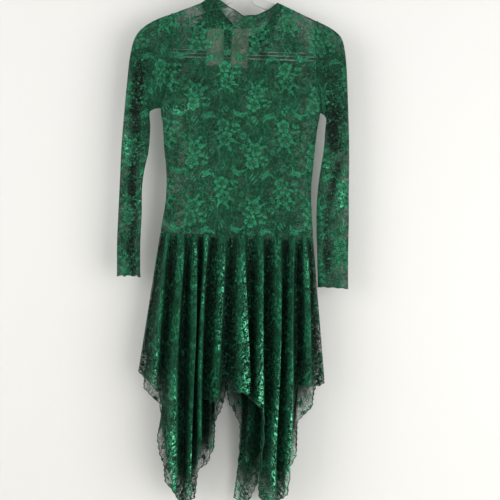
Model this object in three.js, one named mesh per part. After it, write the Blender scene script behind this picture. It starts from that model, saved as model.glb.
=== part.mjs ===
// Lyrical dance dress of stretch lace on a flat plastic hanger.
// Millimetres, +Z up. The origin is where the hanger's hook rests on its rail, the back of the
// dress faces -Y and +X is to the right of somebody who looks at the back.
// A "drop" is a distance below the origin, so z = -drop.
import * as THREE from 'three';

const CLOTH = 1.2;            // wall of the lace panels
const SEAM = 0.3;             // gap between two sewn pieces
const HALF_SEAM = SEAM / 2;
const WAIST_DROP = 608;       // dropped waist seam
const LOW_DROP = 901;         // where the skirt's low width is measured
const TIP_DROP = 1174;        // where the long corners of the skirt end

// Bodice outline: left and right edge, and half of the depth that the cloth fills.
const BODICE = [
  { drop: 145, left: -139, right: 154, depth: 9 },
  { drop: 197, left: -139, right: 156, depth: 12 },
  { drop: 239, left: -140, right: 159, depth: 14 },
  { drop: 281, left: -145, right: 162, depth: 15.5 },
  { drop: 313, left: -155, right: 168, depth: 17 },
  { drop: 346, left: -166, right: 175, depth: 17.5 },
  { drop: 365, left: -160, right: 168, depth: 17.5 },
  { drop: 397, left: -156, right: 165, depth: 17 },
  { drop: 428, left: -154, right: 163, depth: 16.5 },
  { drop: 460, left: -149, right: 161, depth: 16 },
  { drop: 491, left: -146, right: 158, depth: 15 },
  { drop: 523, left: -146, right: 158, depth: 15 },
  { drop: 550, left: -147, right: 160, depth: 15.5 },
  { drop: 580, left: -152, right: 163, depth: 16.5 },
  { drop: 608, left: -156, right: 165, depth: 17.5 },
];
const SHOULDER = { neckDrop: 123.5, round: 10 };

// Neck: where the neck seam ends on the shoulders, as shares of the bodice's half width,
// and how deep the seam and the band's free edge dip in the back and in the front.
const NECK = { middle: -0.04, half: 0.604 };
const NECK_SEAM = { back: 170, front: 208, bend: 2.6, halfDepth: 15, fade: 60 };
const BAND_EDGE = {
  left: { x: -65, drop: 107, bend: 1.1 },
  right: { x: 76, drop: 118, bend: 2.5 },
  back: 150,
  front: 187,
};

// Where the rings of a sleeve and the rows of the bodice lie along the armhole, 1 at its top.
const RING = [1, 0.985, 0.94, 0.8, 0.5, 0.18, -0.18, -0.5, -0.8, -0.94, -0.985, -1];

// Sleeves, station by station: outer edge, underarm edge and half of the depth.
const LEFT_SLEEVE = [
  { outerX: -139, outerDrop: 145, innerX: -166, innerDrop: 346, depth: 9 },
  { outerX: -168, outerDrop: 156, innerX: -174, innerDrop: 347, depth: 10 },
  { outerX: -193, outerDrop: 169, innerX: -181, innerDrop: 350, depth: 10 },
  { outerX: -213, outerDrop: 186, innerX: -186, innerDrop: 355, depth: 10 },
  { outerX: -225, outerDrop: 209, innerX: -186, innerDrop: 365, depth: 9.5 },
  { outerX: -232, outerDrop: 248, innerX: -184, innerDrop: 382, depth: 9 },
  { outerX: -236, outerDrop: 302, innerX: -184, innerDrop: 407, depth: 9 },
  { outerX: -240, outerDrop: 365, innerX: -186, innerDrop: 439, depth: 8 },
  { outerX: -243, outerDrop: 428, innerX: -193, innerDrop: 475, depth: 7.5 },
  { outerX: -244, outerDrop: 491, innerX: -197, innerDrop: 517, depth: 7 },
  { outerX: -245, outerDrop: 559, innerX: -196, innerDrop: 571, depth: 7 },
  { outerX: -246, outerDrop: 628, innerX: -197, innerDrop: 632, depth: 6.5 },
  { outerX: -244, outerDrop: 699, innerX: -195, innerDrop: 699, depth: 6 },
];
const RIGHT_SLEEVE = [
  { outerX: 154, outerDrop: 152, innerX: 175, innerDrop: 346, depth: 9 },
  { outerX: 176, outerDrop: 161, innerX: 181, innerDrop: 350, depth: 10 },
  { outerX: 196, outerDrop: 172, innerX: 184, innerDrop: 355, depth: 10 },
  { outerX: 212, outerDrop: 188, innerX: 185, innerDrop: 361, depth: 10 },
  { outerX: 220, outerDrop: 216, innerX: 184, innerDrop: 374, depth: 9.5 },
  { outerX: 225, outerDrop: 256, innerX: 183, innerDrop: 391, depth: 9 },
  { outerX: 229, outerDrop: 313, innerX: 182, innerDrop: 416, depth: 9 },
  { outerX: 233, outerDrop: 376, innerX: 179, innerDrop: 445, depth: 8 },
  { outerX: 236, outerDrop: 439, innerX: 174, innerDrop: 483, depth: 7.5 },
  { outerX: 237, outerDrop: 502, innerX: 171, innerDrop: 525, depth: 7 },
  { outerX: 239, outerDrop: 565, innerX: 171, innerDrop: 580, depth: 7 },
  { outerX: 240, outerDrop: 638, innerX: 175, innerDrop: 643, depth: 6.5 },
  { outerX: 242, outerDrop: 712, innerX: 178, innerDrop: 710, depth: 6 },
];
const CUFF_WAVE = { count: 5, height: 3 };

// Skirt folds from left to right: x at the waist seam, at LOW_DROP and at TIP_DROP, and the hem's
// drop. A ridge stands out from the body, a valley lies closer to it, a side is the side seam.
const BACK_FOLDS = [
  { kind: 'side', seam: -156, low: -193, tip: -193, hem: 898 },
  { kind: 'valley', seam: -150, low: -180, tip: -180, hem: 903 },
  { kind: 'ridge', seam: -139, low: -160, tip: -160, hem: 927 },
  { kind: 'valley', seam: -130, low: -140, tip: -138, hem: 938 },
  { kind: 'ridge', seam: -109, low: -118, tip: -116, hem: 1140 },
  { kind: 'valley', seam: -94, low: -93, tip: -84, hem: 1176 },
  { kind: 'ridge', seam: -80, low: -81, tip: -76, hem: 1166 },
  { kind: 'valley', seam: -70, low: -72, tip: -68, hem: 1112 },
  { kind: 'ridge', seam: -58, low: -64, tip: -60, hem: 1063 },
  { kind: 'valley', seam: -44, low: -51, tip: -50, hem: 948 },
  { kind: 'ridge', seam: -25, low: -28, tip: -5, hem: 953 },
  { kind: 'valley', seam: -8, low: -8, tip: -8, hem: 930 },
  { kind: 'ridge', seam: 16, low: 32, tip: 34, hem: 932 },
  { kind: 'valley', seam: 36, low: 40, tip: 38, hem: 938 },
  { kind: 'ridge', seam: 52, low: 64, tip: 68, hem: 961 },
  { kind: 'valley', seam: 72, low: 78, tip: 76, hem: 1150 },
  { kind: 'ridge', seam: 92, low: 98, tip: 98, hem: 1178 },
  { kind: 'valley', seam: 107, low: 110, tip: 110, hem: 1163 },
  { kind: 'ridge', seam: 122, low: 121, tip: 121, hem: 1138 },
  { kind: 'valley', seam: 134, low: 141, tip: 141, hem: 916 },
  { kind: 'ridge', seam: 148, low: 160, tip: 160, hem: 914 },
  { kind: 'valley', seam: 157, low: 184, tip: 184, hem: 918 },
  { kind: 'side', seam: 165, low: 198, tip: 198, hem: 911 },
];
const FRONT_FOLDS = [
  { kind: 'side', seam: -156, low: -193, tip: -193, hem: 898 },
  { kind: 'valley', seam: -151, low: -181, tip: -181, hem: 903 },
  { kind: 'ridge', seam: -145, low: -181, tip: -183, hem: 934 },
  { kind: 'valley', seam: -130, low: -149, tip: -149, hem: 967 },
  { kind: 'ridge', seam: -116, low: -131, tip: -152, hem: 1048 },
  { kind: 'valley', seam: -104, low: -126, tip: -124, hem: 1092 },
  { kind: 'ridge', seam: -92, low: -120, tip: -120, hem: 1144 },
  { kind: 'valley', seam: -78, low: -101, tip: -101, hem: 1166 },
  { kind: 'ridge', seam: -64, low: -88, tip: -90, hem: 1180 },
  { kind: 'valley', seam: -52, low: -70, tip: -72, hem: 1165 },
  { kind: 'ridge', seam: -40, low: -60, tip: -64, hem: 1113 },
  { kind: 'valley', seam: -28, low: -46, tip: -46, hem: 1092 },
  { kind: 'ridge', seam: -15, low: -28, tip: -28, hem: 1070 },
  { kind: 'valley', seam: -7, low: -31, tip: -31, hem: 1000 },
  { kind: 'ridge', seam: 0, low: -22, tip: -22, hem: 990 },
  { kind: 'valley', seam: 5, low: -14, tip: -14, hem: 953 },
  { kind: 'ridge', seam: 12, low: 2, tip: 0, hem: 975 },
  { kind: 'valley', seam: 24, low: 24, tip: 24, hem: 1003 },
  { kind: 'ridge', seam: 38, low: 42, tip: 16, hem: 1168 },
  { kind: 'valley', seam: 52, low: 50, tip: 42, hem: 1180 },
  { kind: 'ridge', seam: 67, low: 66, tip: 62, hem: 1132 },
  { kind: 'valley', seam: 84, low: 82, tip: 76, hem: 1163 },
  { kind: 'ridge', seam: 100, low: 101, tip: 99, hem: 1180 },
  { kind: 'valley', seam: 113, low: 112, tip: 112, hem: 1166 },
  { kind: 'ridge', seam: 124, low: 121, tip: 121, hem: 1158 },
  { kind: 'valley', seam: 134, low: 128, tip: 128, hem: 1112 },
  { kind: 'ridge', seam: 142, low: 128, tip: 150, hem: 1075 },
  { kind: 'valley', seam: 150, low: 150, tip: 150, hem: 996 },
  { kind: 'ridge', seam: 156, low: 171, tip: 171, hem: 970 },
  { kind: 'valley', seam: 161, low: 186, tip: 186, hem: 918 },
  { kind: 'side', seam: 165, low: 198, tip: 198, hem: 911 },
];
// How far the skirt stands out from the middle plane, and how much of that a fold takes.
const FLARE = [
  { drop: 608, depth: 17.5, fold: 0.12 },
  { drop: 660, depth: 22, fold: 0.36 },
  { drop: 780, depth: 32, fold: 0.44 },
  { drop: 901, depth: 40, fold: 0.46 },
  { drop: 1060, depth: 36, fold: 0.46 },
  { drop: 1180, depth: 26, fold: 0.4 },
];
const SKIRT_ROWS = 11;
const STEPS_PER_FOLD = 3;

// Woven labels on the inside of the back panel, hanging under the neck seam.
const LABELS = [
  { name: 'label_care', left: -71, right: -35, top: 178, bottom: 256 },
  { name: 'label_size', left: -19, right: 17, top: 175, bottom: 258 },
];
const LABEL_THICKNESS = 0.7;

// Hanger: one side of its outer edge and of the gap inside it, mirrored about the middle.
const HANGER_OUTER = [
  [0, -91], [19, -100], [50, -114], [76, -122], [88, -127], [139, -148.4], [154, -155.6],
  [172, -162], [190, -171.5], [203, -184], [210, -199], [209, -216], [199, -234],
];
const HANGER_GAP = [
  [0, -106], [17, -110], [19, -121], [71, -141], [139, -169], [172, -184], [189, -197], [192, -210],
  [185, -220],
];
const HANGER = { thickness: 5.5, bevel: 1.5 };
const HOOK = { wire: 3.4, radius: 24, shankTop: -70, shankBottom: -90.6, tipAngle: 200 };

const lerp = THREE.MathUtils.lerp;
const clamp01 = (value) => Math.min(1, Math.max(0, value));

/** Value of one column of a table at a drop, straight between its rows. */
function valueAt(table, column, drop) {
  let i = 1;
  while (i < table.length - 1 && table[i].drop < drop) i += 1;
  const [a, b] = [table[i - 1], table[i]];
  return lerp(a[column], b[column], clamp01((drop - a.drop) / (b.drop - a.drop)));
}

/** Signed volume of an indexed mesh, positive when its faces point out. */
function signedVolume(points, faces) {
  const cross = new THREE.Vector3();
  let sum = 0;
  for (const [a, b, c] of faces) sum += points[a].dot(cross.crossVectors(points[b], points[c]));
  return sum / 6;
}

function geometryOf(points, faces) {
  const outward = signedVolume(points, faces) > 0 ? faces : faces.map(([a, b, c]) => [a, c, b]);
  const geometry = new THREE.BufferGeometry();
  geometry.setAttribute('position', new THREE.Float32BufferAttribute(points.flatMap((p) => p.toArray()), 3));
  geometry.setIndex(outward.flat());
  geometry.computeVertexNormals();
  return geometry;
}

/**
 * Wall of cloth on a grid of outer points (rows of columns). `side` is 1 or -1, so that
 * side * (along the row x down the columns) points out. `closed` joins the last column to the
 * first. `lock(row, column)` names the axes along which the inner point keeps its place, at a seam.
 */
function clothWall(grid, { side, closed = false, wall = CLOTH, lock = () => '' }) {
  const rows = grid.length;
  const columns = grid[0].length;
  const column = (j) => (closed ? (j + columns) % columns : Math.min(columns - 1, Math.max(0, j)));
  const row = (i) => Math.min(rows - 1, Math.max(0, i));
  const inner = grid.map((points, i) => points.map((point, j) => {
    const across = grid[i][column(j + 1)].clone().sub(grid[i][column(j - 1)]);
    const down = grid[row(i + 1)][j].clone().sub(grid[row(i - 1)][j]);
    const normal = across.cross(down);
    for (const axis of lock(i, j)) normal[axis] = 0;
    return point.clone().addScaledVector(normal.normalize(), -side * wall);
  }));
  const points = [...grid.flat(), ...inner.flat()];
  const outer = (i, j) => i * columns + column(j);
  const inside = (i, j) => rows * columns + outer(i, j);
  const faces = [];
  const quad = (a, b, c, d) => faces.push([a, b, c], [a, c, d]);
  const spans = closed ? columns : columns - 1;
  for (let i = 0; i < rows - 1; i += 1) {
    for (let j = 0; j < spans; j += 1) {
      quad(outer(i, j), outer(i, j + 1), outer(i + 1, j + 1), outer(i + 1, j));
      quad(inside(i, j), inside(i + 1, j), inside(i + 1, j + 1), inside(i, j + 1));
    }
  }
  for (let j = 0; j < spans; j += 1) {
    quad(outer(0, j + 1), outer(0, j), inside(0, j), inside(0, j + 1));
    quad(outer(rows - 1, j), outer(rows - 1, j + 1), inside(rows - 1, j + 1), inside(rows - 1, j));
  }
  if (!closed) {
    for (let i = 0; i < rows - 1; i += 1) {
      quad(outer(i, 0), outer(i + 1, 0), inside(i + 1, 0), inside(i, 0));
      quad(outer(i + 1, spans), outer(i, spans), inside(i, spans), inside(i + 1, spans));
    }
  }
  return geometryOf(points, faces);
}

/** Half of the thickness of a flat tube, as a share, at `u` from -1 to 1 across it. */
const flatTube = (u) => Math.sqrt(Math.max(0, 1 - u ** 6));

// ---- bodice -------------------------------------------------------------------------------

const BODY_ROWS_BELOW_ARM = 8;
const NECK_COLUMNS = [-1, -0.99, -0.96, -0.88, -0.7, -0.45, -0.2, 0, 0.2, 0.45, 0.7, 0.88, 0.96, 0.99, 1];
const SHOULDER_COLUMNS = [0.14, 0.36, 0.6, 0.8, 0.93, 0.985, 1];

/** Shares of the half width where the columns of a bodice panel lie, from left to right. */
const BODY_COLUMNS = [
  ...SHOULDER_COLUMNS.map((t) => lerp(NECK.middle - NECK.half, -1, t)).reverse(),
  ...NECK_COLUMNS.map((q) => NECK.middle + NECK.half * q),
  ...SHOULDER_COLUMNS.map((t) => lerp(NECK.middle + NECK.half, 1, t)),
];
const neckShare = (s) => (s - NECK.middle) / NECK.half;
const bodyX = (s, drop) => {
  const left = valueAt(BODICE, 'left', drop);
  const right = valueAt(BODICE, 'right', drop);
  return (left + right) / 2 + s * (right - left) / 2;
};

/** Drop of a panel's top edge: the neck seam's curve, then the shoulder seam down to the sleeve. */
function topDrop(s, seamDip) {
  const q = neckShare(s);
  if (Math.abs(q) < 1) return lerp(SHOULDER.neckDrop, seamDip, 1 - Math.abs(q) ** NECK_SEAM.bend);
  const neckEnd = NECK.middle + Math.sign(q) * NECK.half;
  const sleeveTop = (q < 0 ? LEFT_SLEEVE : RIGHT_SLEEVE)[0].outerDrop;
  return lerp(SHOULDER.neckDrop, sleeveTop, (Math.abs(s) - Math.abs(neckEnd)) / (1 - Math.abs(neckEnd)));
}

/** Drop of the armhole's or the side seam's edge at a row, on the sleeve's own ring. */
function edgeDrop(sleeve, row) {
  const { outerDrop, innerDrop } = sleeve[0];
  if (row < RING.length) return lerp(innerDrop, outerDrop, (RING[row] + 1) / 2);
  return lerp(innerDrop, WAIST_DROP, (row - RING.length + 1) / BODY_ROWS_BELOW_ARM);
}

/** Half of the armhole's opening at an edge, 0 at the side seam and on the shoulder. */
function armholeDepth(sleeve, row) {
  return row < RING.length ? sleeve[0].depth * flatTube(RING[row]) : 0;
}

/** Outer point of a bodice panel; `face` is -1 for the back and 1 for the front. */
function bodyPoint(s, row, face) {
  const toRight = (s + 1) / 2;
  const top = topDrop(s, face < 0 ? NECK_SEAM.back : NECK_SEAM.front);
  const shareDown = (sleeve) => (edgeDrop(sleeve, row) - sleeve[0].outerDrop)
    / (WAIST_DROP - sleeve[0].outerDrop);
  const down = lerp(shareDown(LEFT_SLEEVE), shareDown(RIGHT_SLEEVE), toRight);
  const drop = lerp(top, WAIST_DROP, down);
  return new THREE.Vector3(bodyX(s, drop), face * bodyDepth(s, row, drop, top), -drop);
}

function bodyDepth(s, row, drop, top) {
  const edge = lerp(armholeDepth(LEFT_SLEEVE, row), armholeDepth(RIGHT_SLEEVE, row), (s + 1) / 2);
  const q = neckShare(s);
  const neckOpen = Math.sqrt(Math.max(0, 1 - q ** 8));
  const roundOff = 1 - clamp01((drop - top) / SHOULDER.round);
  const rise = Math.sqrt(Math.max(0, 1 - roundOff ** 2 * (1 - neckOpen ** 2)));
  const fill = valueAt(BODICE, 'depth', drop);
  const stand = Math.max(0, NECK_SEAM.halfDepth - fill) * neckOpen * (1 - clamp01((drop - top) / NECK_SEAM.fade));
  return HALF_SEAM + edge + Math.max(0, fill * rise - edge) * flatTube(s) + stand;
}

function bodicePanel(face) {
  const lastRow = RING.length + BODY_ROWS_BELOW_ARM - 1;
  const grid = [];
  for (let row = 0; row <= lastRow; row += 1) {
    grid.push(BODY_COLUMNS.map((s) => bodyPoint(s, row, face)));
  }
  const lastColumn = BODY_COLUMNS.length - 1;
  const lock = (i, j) => {
    const atEdge = j === 0 || j === lastColumn;
    if (i === lastRow) return atEdge ? 'yz' : 'z';
    if (atEdge) return i > 0 && i < RING.length - 1 ? 'x' : 'y';
    if (i > 0) return '';
    return Math.abs(neckShare(BODY_COLUMNS[j])) < 0.99 ? 'z' : 'y';
  };
  return clothWall(grid, { side: face, lock });
}

/** Short stand-up band, a ring round the neck seam; its rows go from the seam to the free edge. */
function neckBand() {
  const halfRing = (face, shares) => shares.map((q) => {
    const seam = bodyPoint(NECK.middle + NECK.half * q, 0, face);
    const end = q < 0 ? BAND_EDGE.left : BAND_EDGE.right;
    const middleX = (BAND_EDGE.left.x + BAND_EDGE.right.x) / 2;
    const dip = face < 0 ? BAND_EDGE.back : BAND_EDGE.front;
    const edgeZ = -lerp(end.drop, dip, 1 - Math.abs(q) ** end.bend);
    const edge = new THREE.Vector3(lerp(middleX, end.x, Math.abs(q)), seam.y, edgeZ);
    seam.z += SEAM;
    return [0, 0.5, 1].map((t) => seam.clone().lerp(edge, t));
  });
  const back = halfRing(-1, NECK_COLUMNS);
  const front = halfRing(1, [...NECK_COLUMNS].reverse());
  const strips = [...back, ...front];
  const grid = [2, 1, 0].map((i) => strips.map((strip) => strip[i]));
  return clothWall(grid, { side: -1, closed: true, lock: (i) => (i === 2 ? 'z' : '') });
}

// ---- sleeves ------------------------------------------------------------------------------

/** Sleeve through its stations; the first ring follows the bodice's armhole edge. */
function sleeve(stations, sideSign) {
  const followArmhole = [1, 0.55, 0.2];
  const top = stations[0];
  const ringPoint = (k, u, face) => {
    const { outerX, outerDrop, innerX, innerDrop, depth } = stations[k];
    const share = (u + 1) / 2;
    const armholeX = bodyX(sideSign, lerp(top.innerDrop, top.outerDrop, share)) + sideSign * SEAM;
    const bend = (armholeX - lerp(top.innerX, top.outerX, share)) * (followArmhole[k] ?? 0);
    const wave = k === stations.length - 1 ? CUFF_WAVE.height * Math.sin(CUFF_WAVE.count * Math.PI * share) : 0;
    return new THREE.Vector3(
      lerp(innerX, outerX, share) + bend,
      face * (Math.abs(u) < 1 ? HALF_SEAM + depth * flatTube(u) : 0),
      -lerp(innerDrop, outerDrop, share) + wave,
    );
  };
  const grid = stations.map((_, k) => [
    ...RING.map((u) => ringPoint(k, u, -1)),
    ...RING.slice(1, -1).reverse().map((u) => ringPoint(k, u, 1)),
  ]);
  return clothWall(grid, { side: sideSign, closed: true, lock: (i) => (i === 0 ? 'x' : '') });
}

// ---- skirt --------------------------------------------------------------------------------

/** Fold table made finer: each step has its place between two folds and its own weight. */
function foldColumns(folds) {
  const weightOf = { ridge: 1, valley: -1, side: 0 };
  const columns = [];
  for (let i = 0; i < folds.length - 1; i += 1) {
    for (let k = 0; k < STEPS_PER_FOLD; k += 1) columns.push([folds[i], folds[i + 1], k / STEPS_PER_FOLD]);
  }
  columns.push([folds[folds.length - 1], folds[folds.length - 1], 0]);
  return columns.map(([a, b, t]) => ({
    seam: lerp(a.seam, b.seam, t),
    low: lerp(a.low, b.low, t),
    tip: lerp(a.tip, b.tip, t),
    hem: lerp(a.hem, b.hem, t),
    weight: lerp(weightOf[a.kind], weightOf[b.kind], (1 - Math.cos(Math.PI * t)) / 2),
  }));
}

/** Skirt panel under the waist seam; `face` is -1 for the back and 1 for the front. */
function skirtPanel(folds, face) {
  const columns = foldColumns(folds);
  const xAt = (column, drop) => (drop < LOW_DROP
    ? lerp(column.seam, column.low, (drop - WAIST_DROP) / (LOW_DROP - WAIST_DROP))
    : lerp(column.low, column.tip, (drop - LOW_DROP) / (TIP_DROP - LOW_DROP)));
  const [first, last] = [columns[0], columns[columns.length - 1]];
  const grid = [];
  for (let row = 0; row < SKIRT_ROWS; row += 1) {
    grid.push(columns.map((column) => {
      const drop = lerp(WAIST_DROP + SEAM, column.hem, row / (SKIRT_ROWS - 1));
      const x = xAt(column, drop);
      const [left, right] = [xAt(first, drop), xAt(last, drop)];
      const s = Math.min(1, Math.abs((2 * x - left - right) / (right - left)));
      const edge = column === first || column === last ? 0 : flatTube(s);
      const fold = 1 + valueAt(FLARE, 'fold', drop) * column.weight;
      return new THREE.Vector3(x, face * (HALF_SEAM + valueAt(FLARE, 'depth', drop) * edge * fold), -drop);
    }));
  }
  const lastColumn = columns.length - 1;
  const lock = (i, j) => (i === 0 ? 'z' : '') + (j === 0 || j === lastColumn ? 'y' : '');
  return clothWall(grid, { side: face, lock });
}

// ---- labels and hanger --------------------------------------------------------------------

/** Back panel's outer point at a place, found between its rows. */
function backPointAt(x, drop) {
  const half = (bodyX(1, drop) - bodyX(-1, drop)) / 2;
  const s = (x - (bodyX(1, drop) + bodyX(-1, drop)) / 2) / half;
  return new THREE.Vector3(x, -bodyDepth(s, RING.length, drop, topDrop(s, NECK_SEAM.back)), -drop);
}

/** Plain woven label that hangs along the inside of the back panel. */
function label({ left, right, top, bottom }) {
  const clearance = CLOTH + SEAM;
  const grid = [0, 0.25, 0.5, 0.75, 1].map((t) => [0, 0.5, 1].map((q) => {
    const point = backPointAt(lerp(left, right, q), lerp(top, bottom, t));
    point.y += clearance + SEAM;
    return point;
  }));
  return clothWall(grid, { side: -1, wall: LABEL_THICKNESS });
}

const mirrored = (points) => [
  ...points.map(([x, z]) => [x, z]),
  ...points.slice(1).reverse().map(([x, z]) => [-x, z]),
].map(([x, z]) => new THREE.Vector2(x, z));

/** Flat moulded body of the hanger: two arms and the lower bar round one long gap. */
function hangerBody() {
  const shape = new THREE.Shape(mirrored(HANGER_OUTER));
  shape.holes.push(new THREE.Path(mirrored(HANGER_GAP).reverse()));
  const geometry = new THREE.ExtrudeGeometry(shape, {
    depth: HANGER.thickness - 2 * HANGER.bevel,
    bevelThickness: HANGER.bevel,
    bevelSize: HANGER.bevel,
    bevelOffset: -HANGER.bevel,
    bevelSegments: 1,
  });
  geometry.translate(0, 0, -(HANGER.thickness - 2 * HANGER.bevel) / 2);
  geometry.rotateX(Math.PI / 2);
  return geometry;
}

/** Hook: a round wire over the rail, back to the middle and down to the hanger's body. */
function hangerHook() {
  const centreZ = HOOK.wire - HOOK.radius;
  const arcStep = 20;
  const path = [];
  for (let angle = HOOK.tipAngle; angle >= 0; angle -= arcStep) {
    const radians = THREE.MathUtils.degToRad(angle);
    path.push([HOOK.radius * Math.cos(radians), centreZ + HOOK.radius * Math.sin(radians)]);
  }
  path.push([HOOK.radius * 0.8, centreZ - HOOK.radius * 0.65], [HOOK.radius * 0.25, centreZ - HOOK.radius * 1.25]);
  path.push([0, HOOK.shankTop], [0, HOOK.shankBottom]);
  const curve = new THREE.CatmullRomCurve3(path.map(([x, z]) => new THREE.Vector3(x, 0, z)));
  const section = new THREE.Shape();
  section.absarc(0, 0, HOOK.wire, 0, 2 * Math.PI);
  return new THREE.ExtrudeGeometry(section, { steps: 34, curveSegments: 8, extrudePath: curve });
}

// ---- the dress on its hanger ----------------------------------------------------------------

const lace = () => new THREE.MeshStandardMaterial({ color: 0x1d5c3f, roughness: 0.75, side: THREE.DoubleSide });
const labelSatin = () => new THREE.MeshStandardMaterial({ color: 0x9a9484, roughness: 0.6 });
const hangerPlastic = () => new THREE.MeshStandardMaterial({ color: 0xc9ccc8, roughness: 0.45 });

const dress = new THREE.Group();
function add(name, geometry, material) {
  const mesh = new THREE.Mesh(geometry, material);
  mesh.name = name;
  dress.add(mesh);
}

add('bodice_back', bodicePanel(-1), lace());
add('bodice_front', bodicePanel(1), lace());
add('neck_band', neckBand(), lace());
add('sleeve_left', sleeve(LEFT_SLEEVE, -1), lace());
add('sleeve_right', sleeve(RIGHT_SLEEVE, 1), lace());
add('skirt_back', skirtPanel(BACK_FOLDS, -1), lace());
add('skirt_front', skirtPanel(FRONT_FOLDS, 1), lace());
for (const piece of LABELS) add(piece.name, label(piece), labelSatin());
add('hanger_body', hangerBody(), hangerPlastic());
add('hanger_hook', hangerHook(), hangerPlastic());

export default dress;
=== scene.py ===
"""Lyrical dance dress of floral stretch lace on a flat plastic hanger.

The back of the dress faces -Y, +X is to the right of somebody who looks at it, and the origin is
where the hanger's hook rests on its rail. Sizes in the tables are millimetres, and a drop is a
distance below the origin.
"""
import math

import bpy
import numpy as np
from bpy.props import FloatProperty, FloatVectorProperty, IntProperty, PointerProperty
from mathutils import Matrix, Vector


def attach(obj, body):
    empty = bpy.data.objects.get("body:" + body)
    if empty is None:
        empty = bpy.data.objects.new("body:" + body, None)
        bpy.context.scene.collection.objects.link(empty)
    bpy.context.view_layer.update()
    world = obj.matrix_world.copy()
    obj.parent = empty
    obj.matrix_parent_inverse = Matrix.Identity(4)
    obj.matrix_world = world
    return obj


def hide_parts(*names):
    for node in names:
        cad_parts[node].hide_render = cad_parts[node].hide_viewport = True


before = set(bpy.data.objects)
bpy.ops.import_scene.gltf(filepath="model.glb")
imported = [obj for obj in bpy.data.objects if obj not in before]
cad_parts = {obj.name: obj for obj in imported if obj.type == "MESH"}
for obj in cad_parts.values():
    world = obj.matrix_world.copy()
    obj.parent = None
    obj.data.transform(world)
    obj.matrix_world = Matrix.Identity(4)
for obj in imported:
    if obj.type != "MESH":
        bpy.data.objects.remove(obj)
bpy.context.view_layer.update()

bl_info = {
    "name": "Lyrical Dance Dress",
    "version": (1, 0, 0),
    "blender": (4, 5, 0),
    "location": "View3D > Sidebar > Dance Dress",
    "description": "Builds a lace dance dress on its hanger, piece by piece",
    "category": "Object",
}

MM = 0.001
BACK, FRONT = -1, 1
LEFT, RIGHT = -1, 1
# Half of the gap between two sewn pieces, in millimetres.
HALF_SEAM = 0.15

# ---- the cut, in millimetres ------------------------------------------------------------------

WAIST_DROP = 608.0
LOW_DROP = 901.0
TIP_DROP = 1174.0
SHOULDER_DROP = 123.5
SHOULDER_ROUND = 10.0

# Bodice outline: drop, left edge, right edge, half of the depth that the cloth fills.
BODICE = np.array([
    (145, -139, 154, 9), (197, -139, 156, 12), (239, -140, 159, 14), (281, -145, 162, 15.5),
    (313, -155, 168, 17), (346, -166, 175, 17.5), (365, -160, 168, 17.5), (397, -156, 165, 17),
    (428, -154, 163, 16.5), (460, -149, 161, 16), (491, -146, 158, 15), (523, -146, 158, 15),
    (550, -147, 160, 15.5), (580, -152, 163, 16.5), (608, -156, 165, 17.5),
])

# Neck: middle and half width as shares of the bodice's half width, and the dips of its edges.
NECK_MIDDLE, NECK_HALF = -0.04, 0.604
NECK_BEND = 2.6
NECK_STAND, NECK_FADE = 15.0, 60.0
NECK_DIP = {BACK: 170.0, FRONT: 208.0}
BAND_DIP = {BACK: 150.0, FRONT: 187.0}
BAND_END = {LEFT: (-65.0, 107.0, 1.1), RIGHT: (76.0, 118.0, 2.5)}

# Sleeve stations: outer x, outer drop, underarm x, underarm drop, half of the depth.
SLEEVE = {
    LEFT: np.array([
        (-139, 145, -166, 346, 9), (-168, 156, -174, 347, 10), (-193, 169, -181, 350, 10),
        (-213, 186, -186, 355, 10), (-225, 209, -186, 365, 9.5), (-232, 248, -184, 382, 9),
        (-236, 302, -184, 407, 9), (-240, 365, -186, 439, 8), (-243, 428, -193, 475, 7.5),
        (-244, 491, -197, 517, 7), (-245, 559, -196, 571, 7), (-246, 628, -197, 632, 6.5),
        (-244, 699, -195, 699, 6),
    ]),
    RIGHT: np.array([
        (154, 152, 175, 346, 9), (176, 161, 181, 350, 10), (196, 172, 184, 355, 10),
        (212, 188, 185, 361, 10), (220, 216, 184, 374, 9.5), (225, 256, 183, 391, 9),
        (229, 313, 182, 416, 9), (233, 376, 179, 445, 8), (236, 439, 174, 483, 7.5),
        (237, 502, 171, 525, 7), (239, 565, 171, 580, 7), (240, 638, 175, 643, 6.5),
        (242, 712, 178, 710, 6),
    ]),
}

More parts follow.
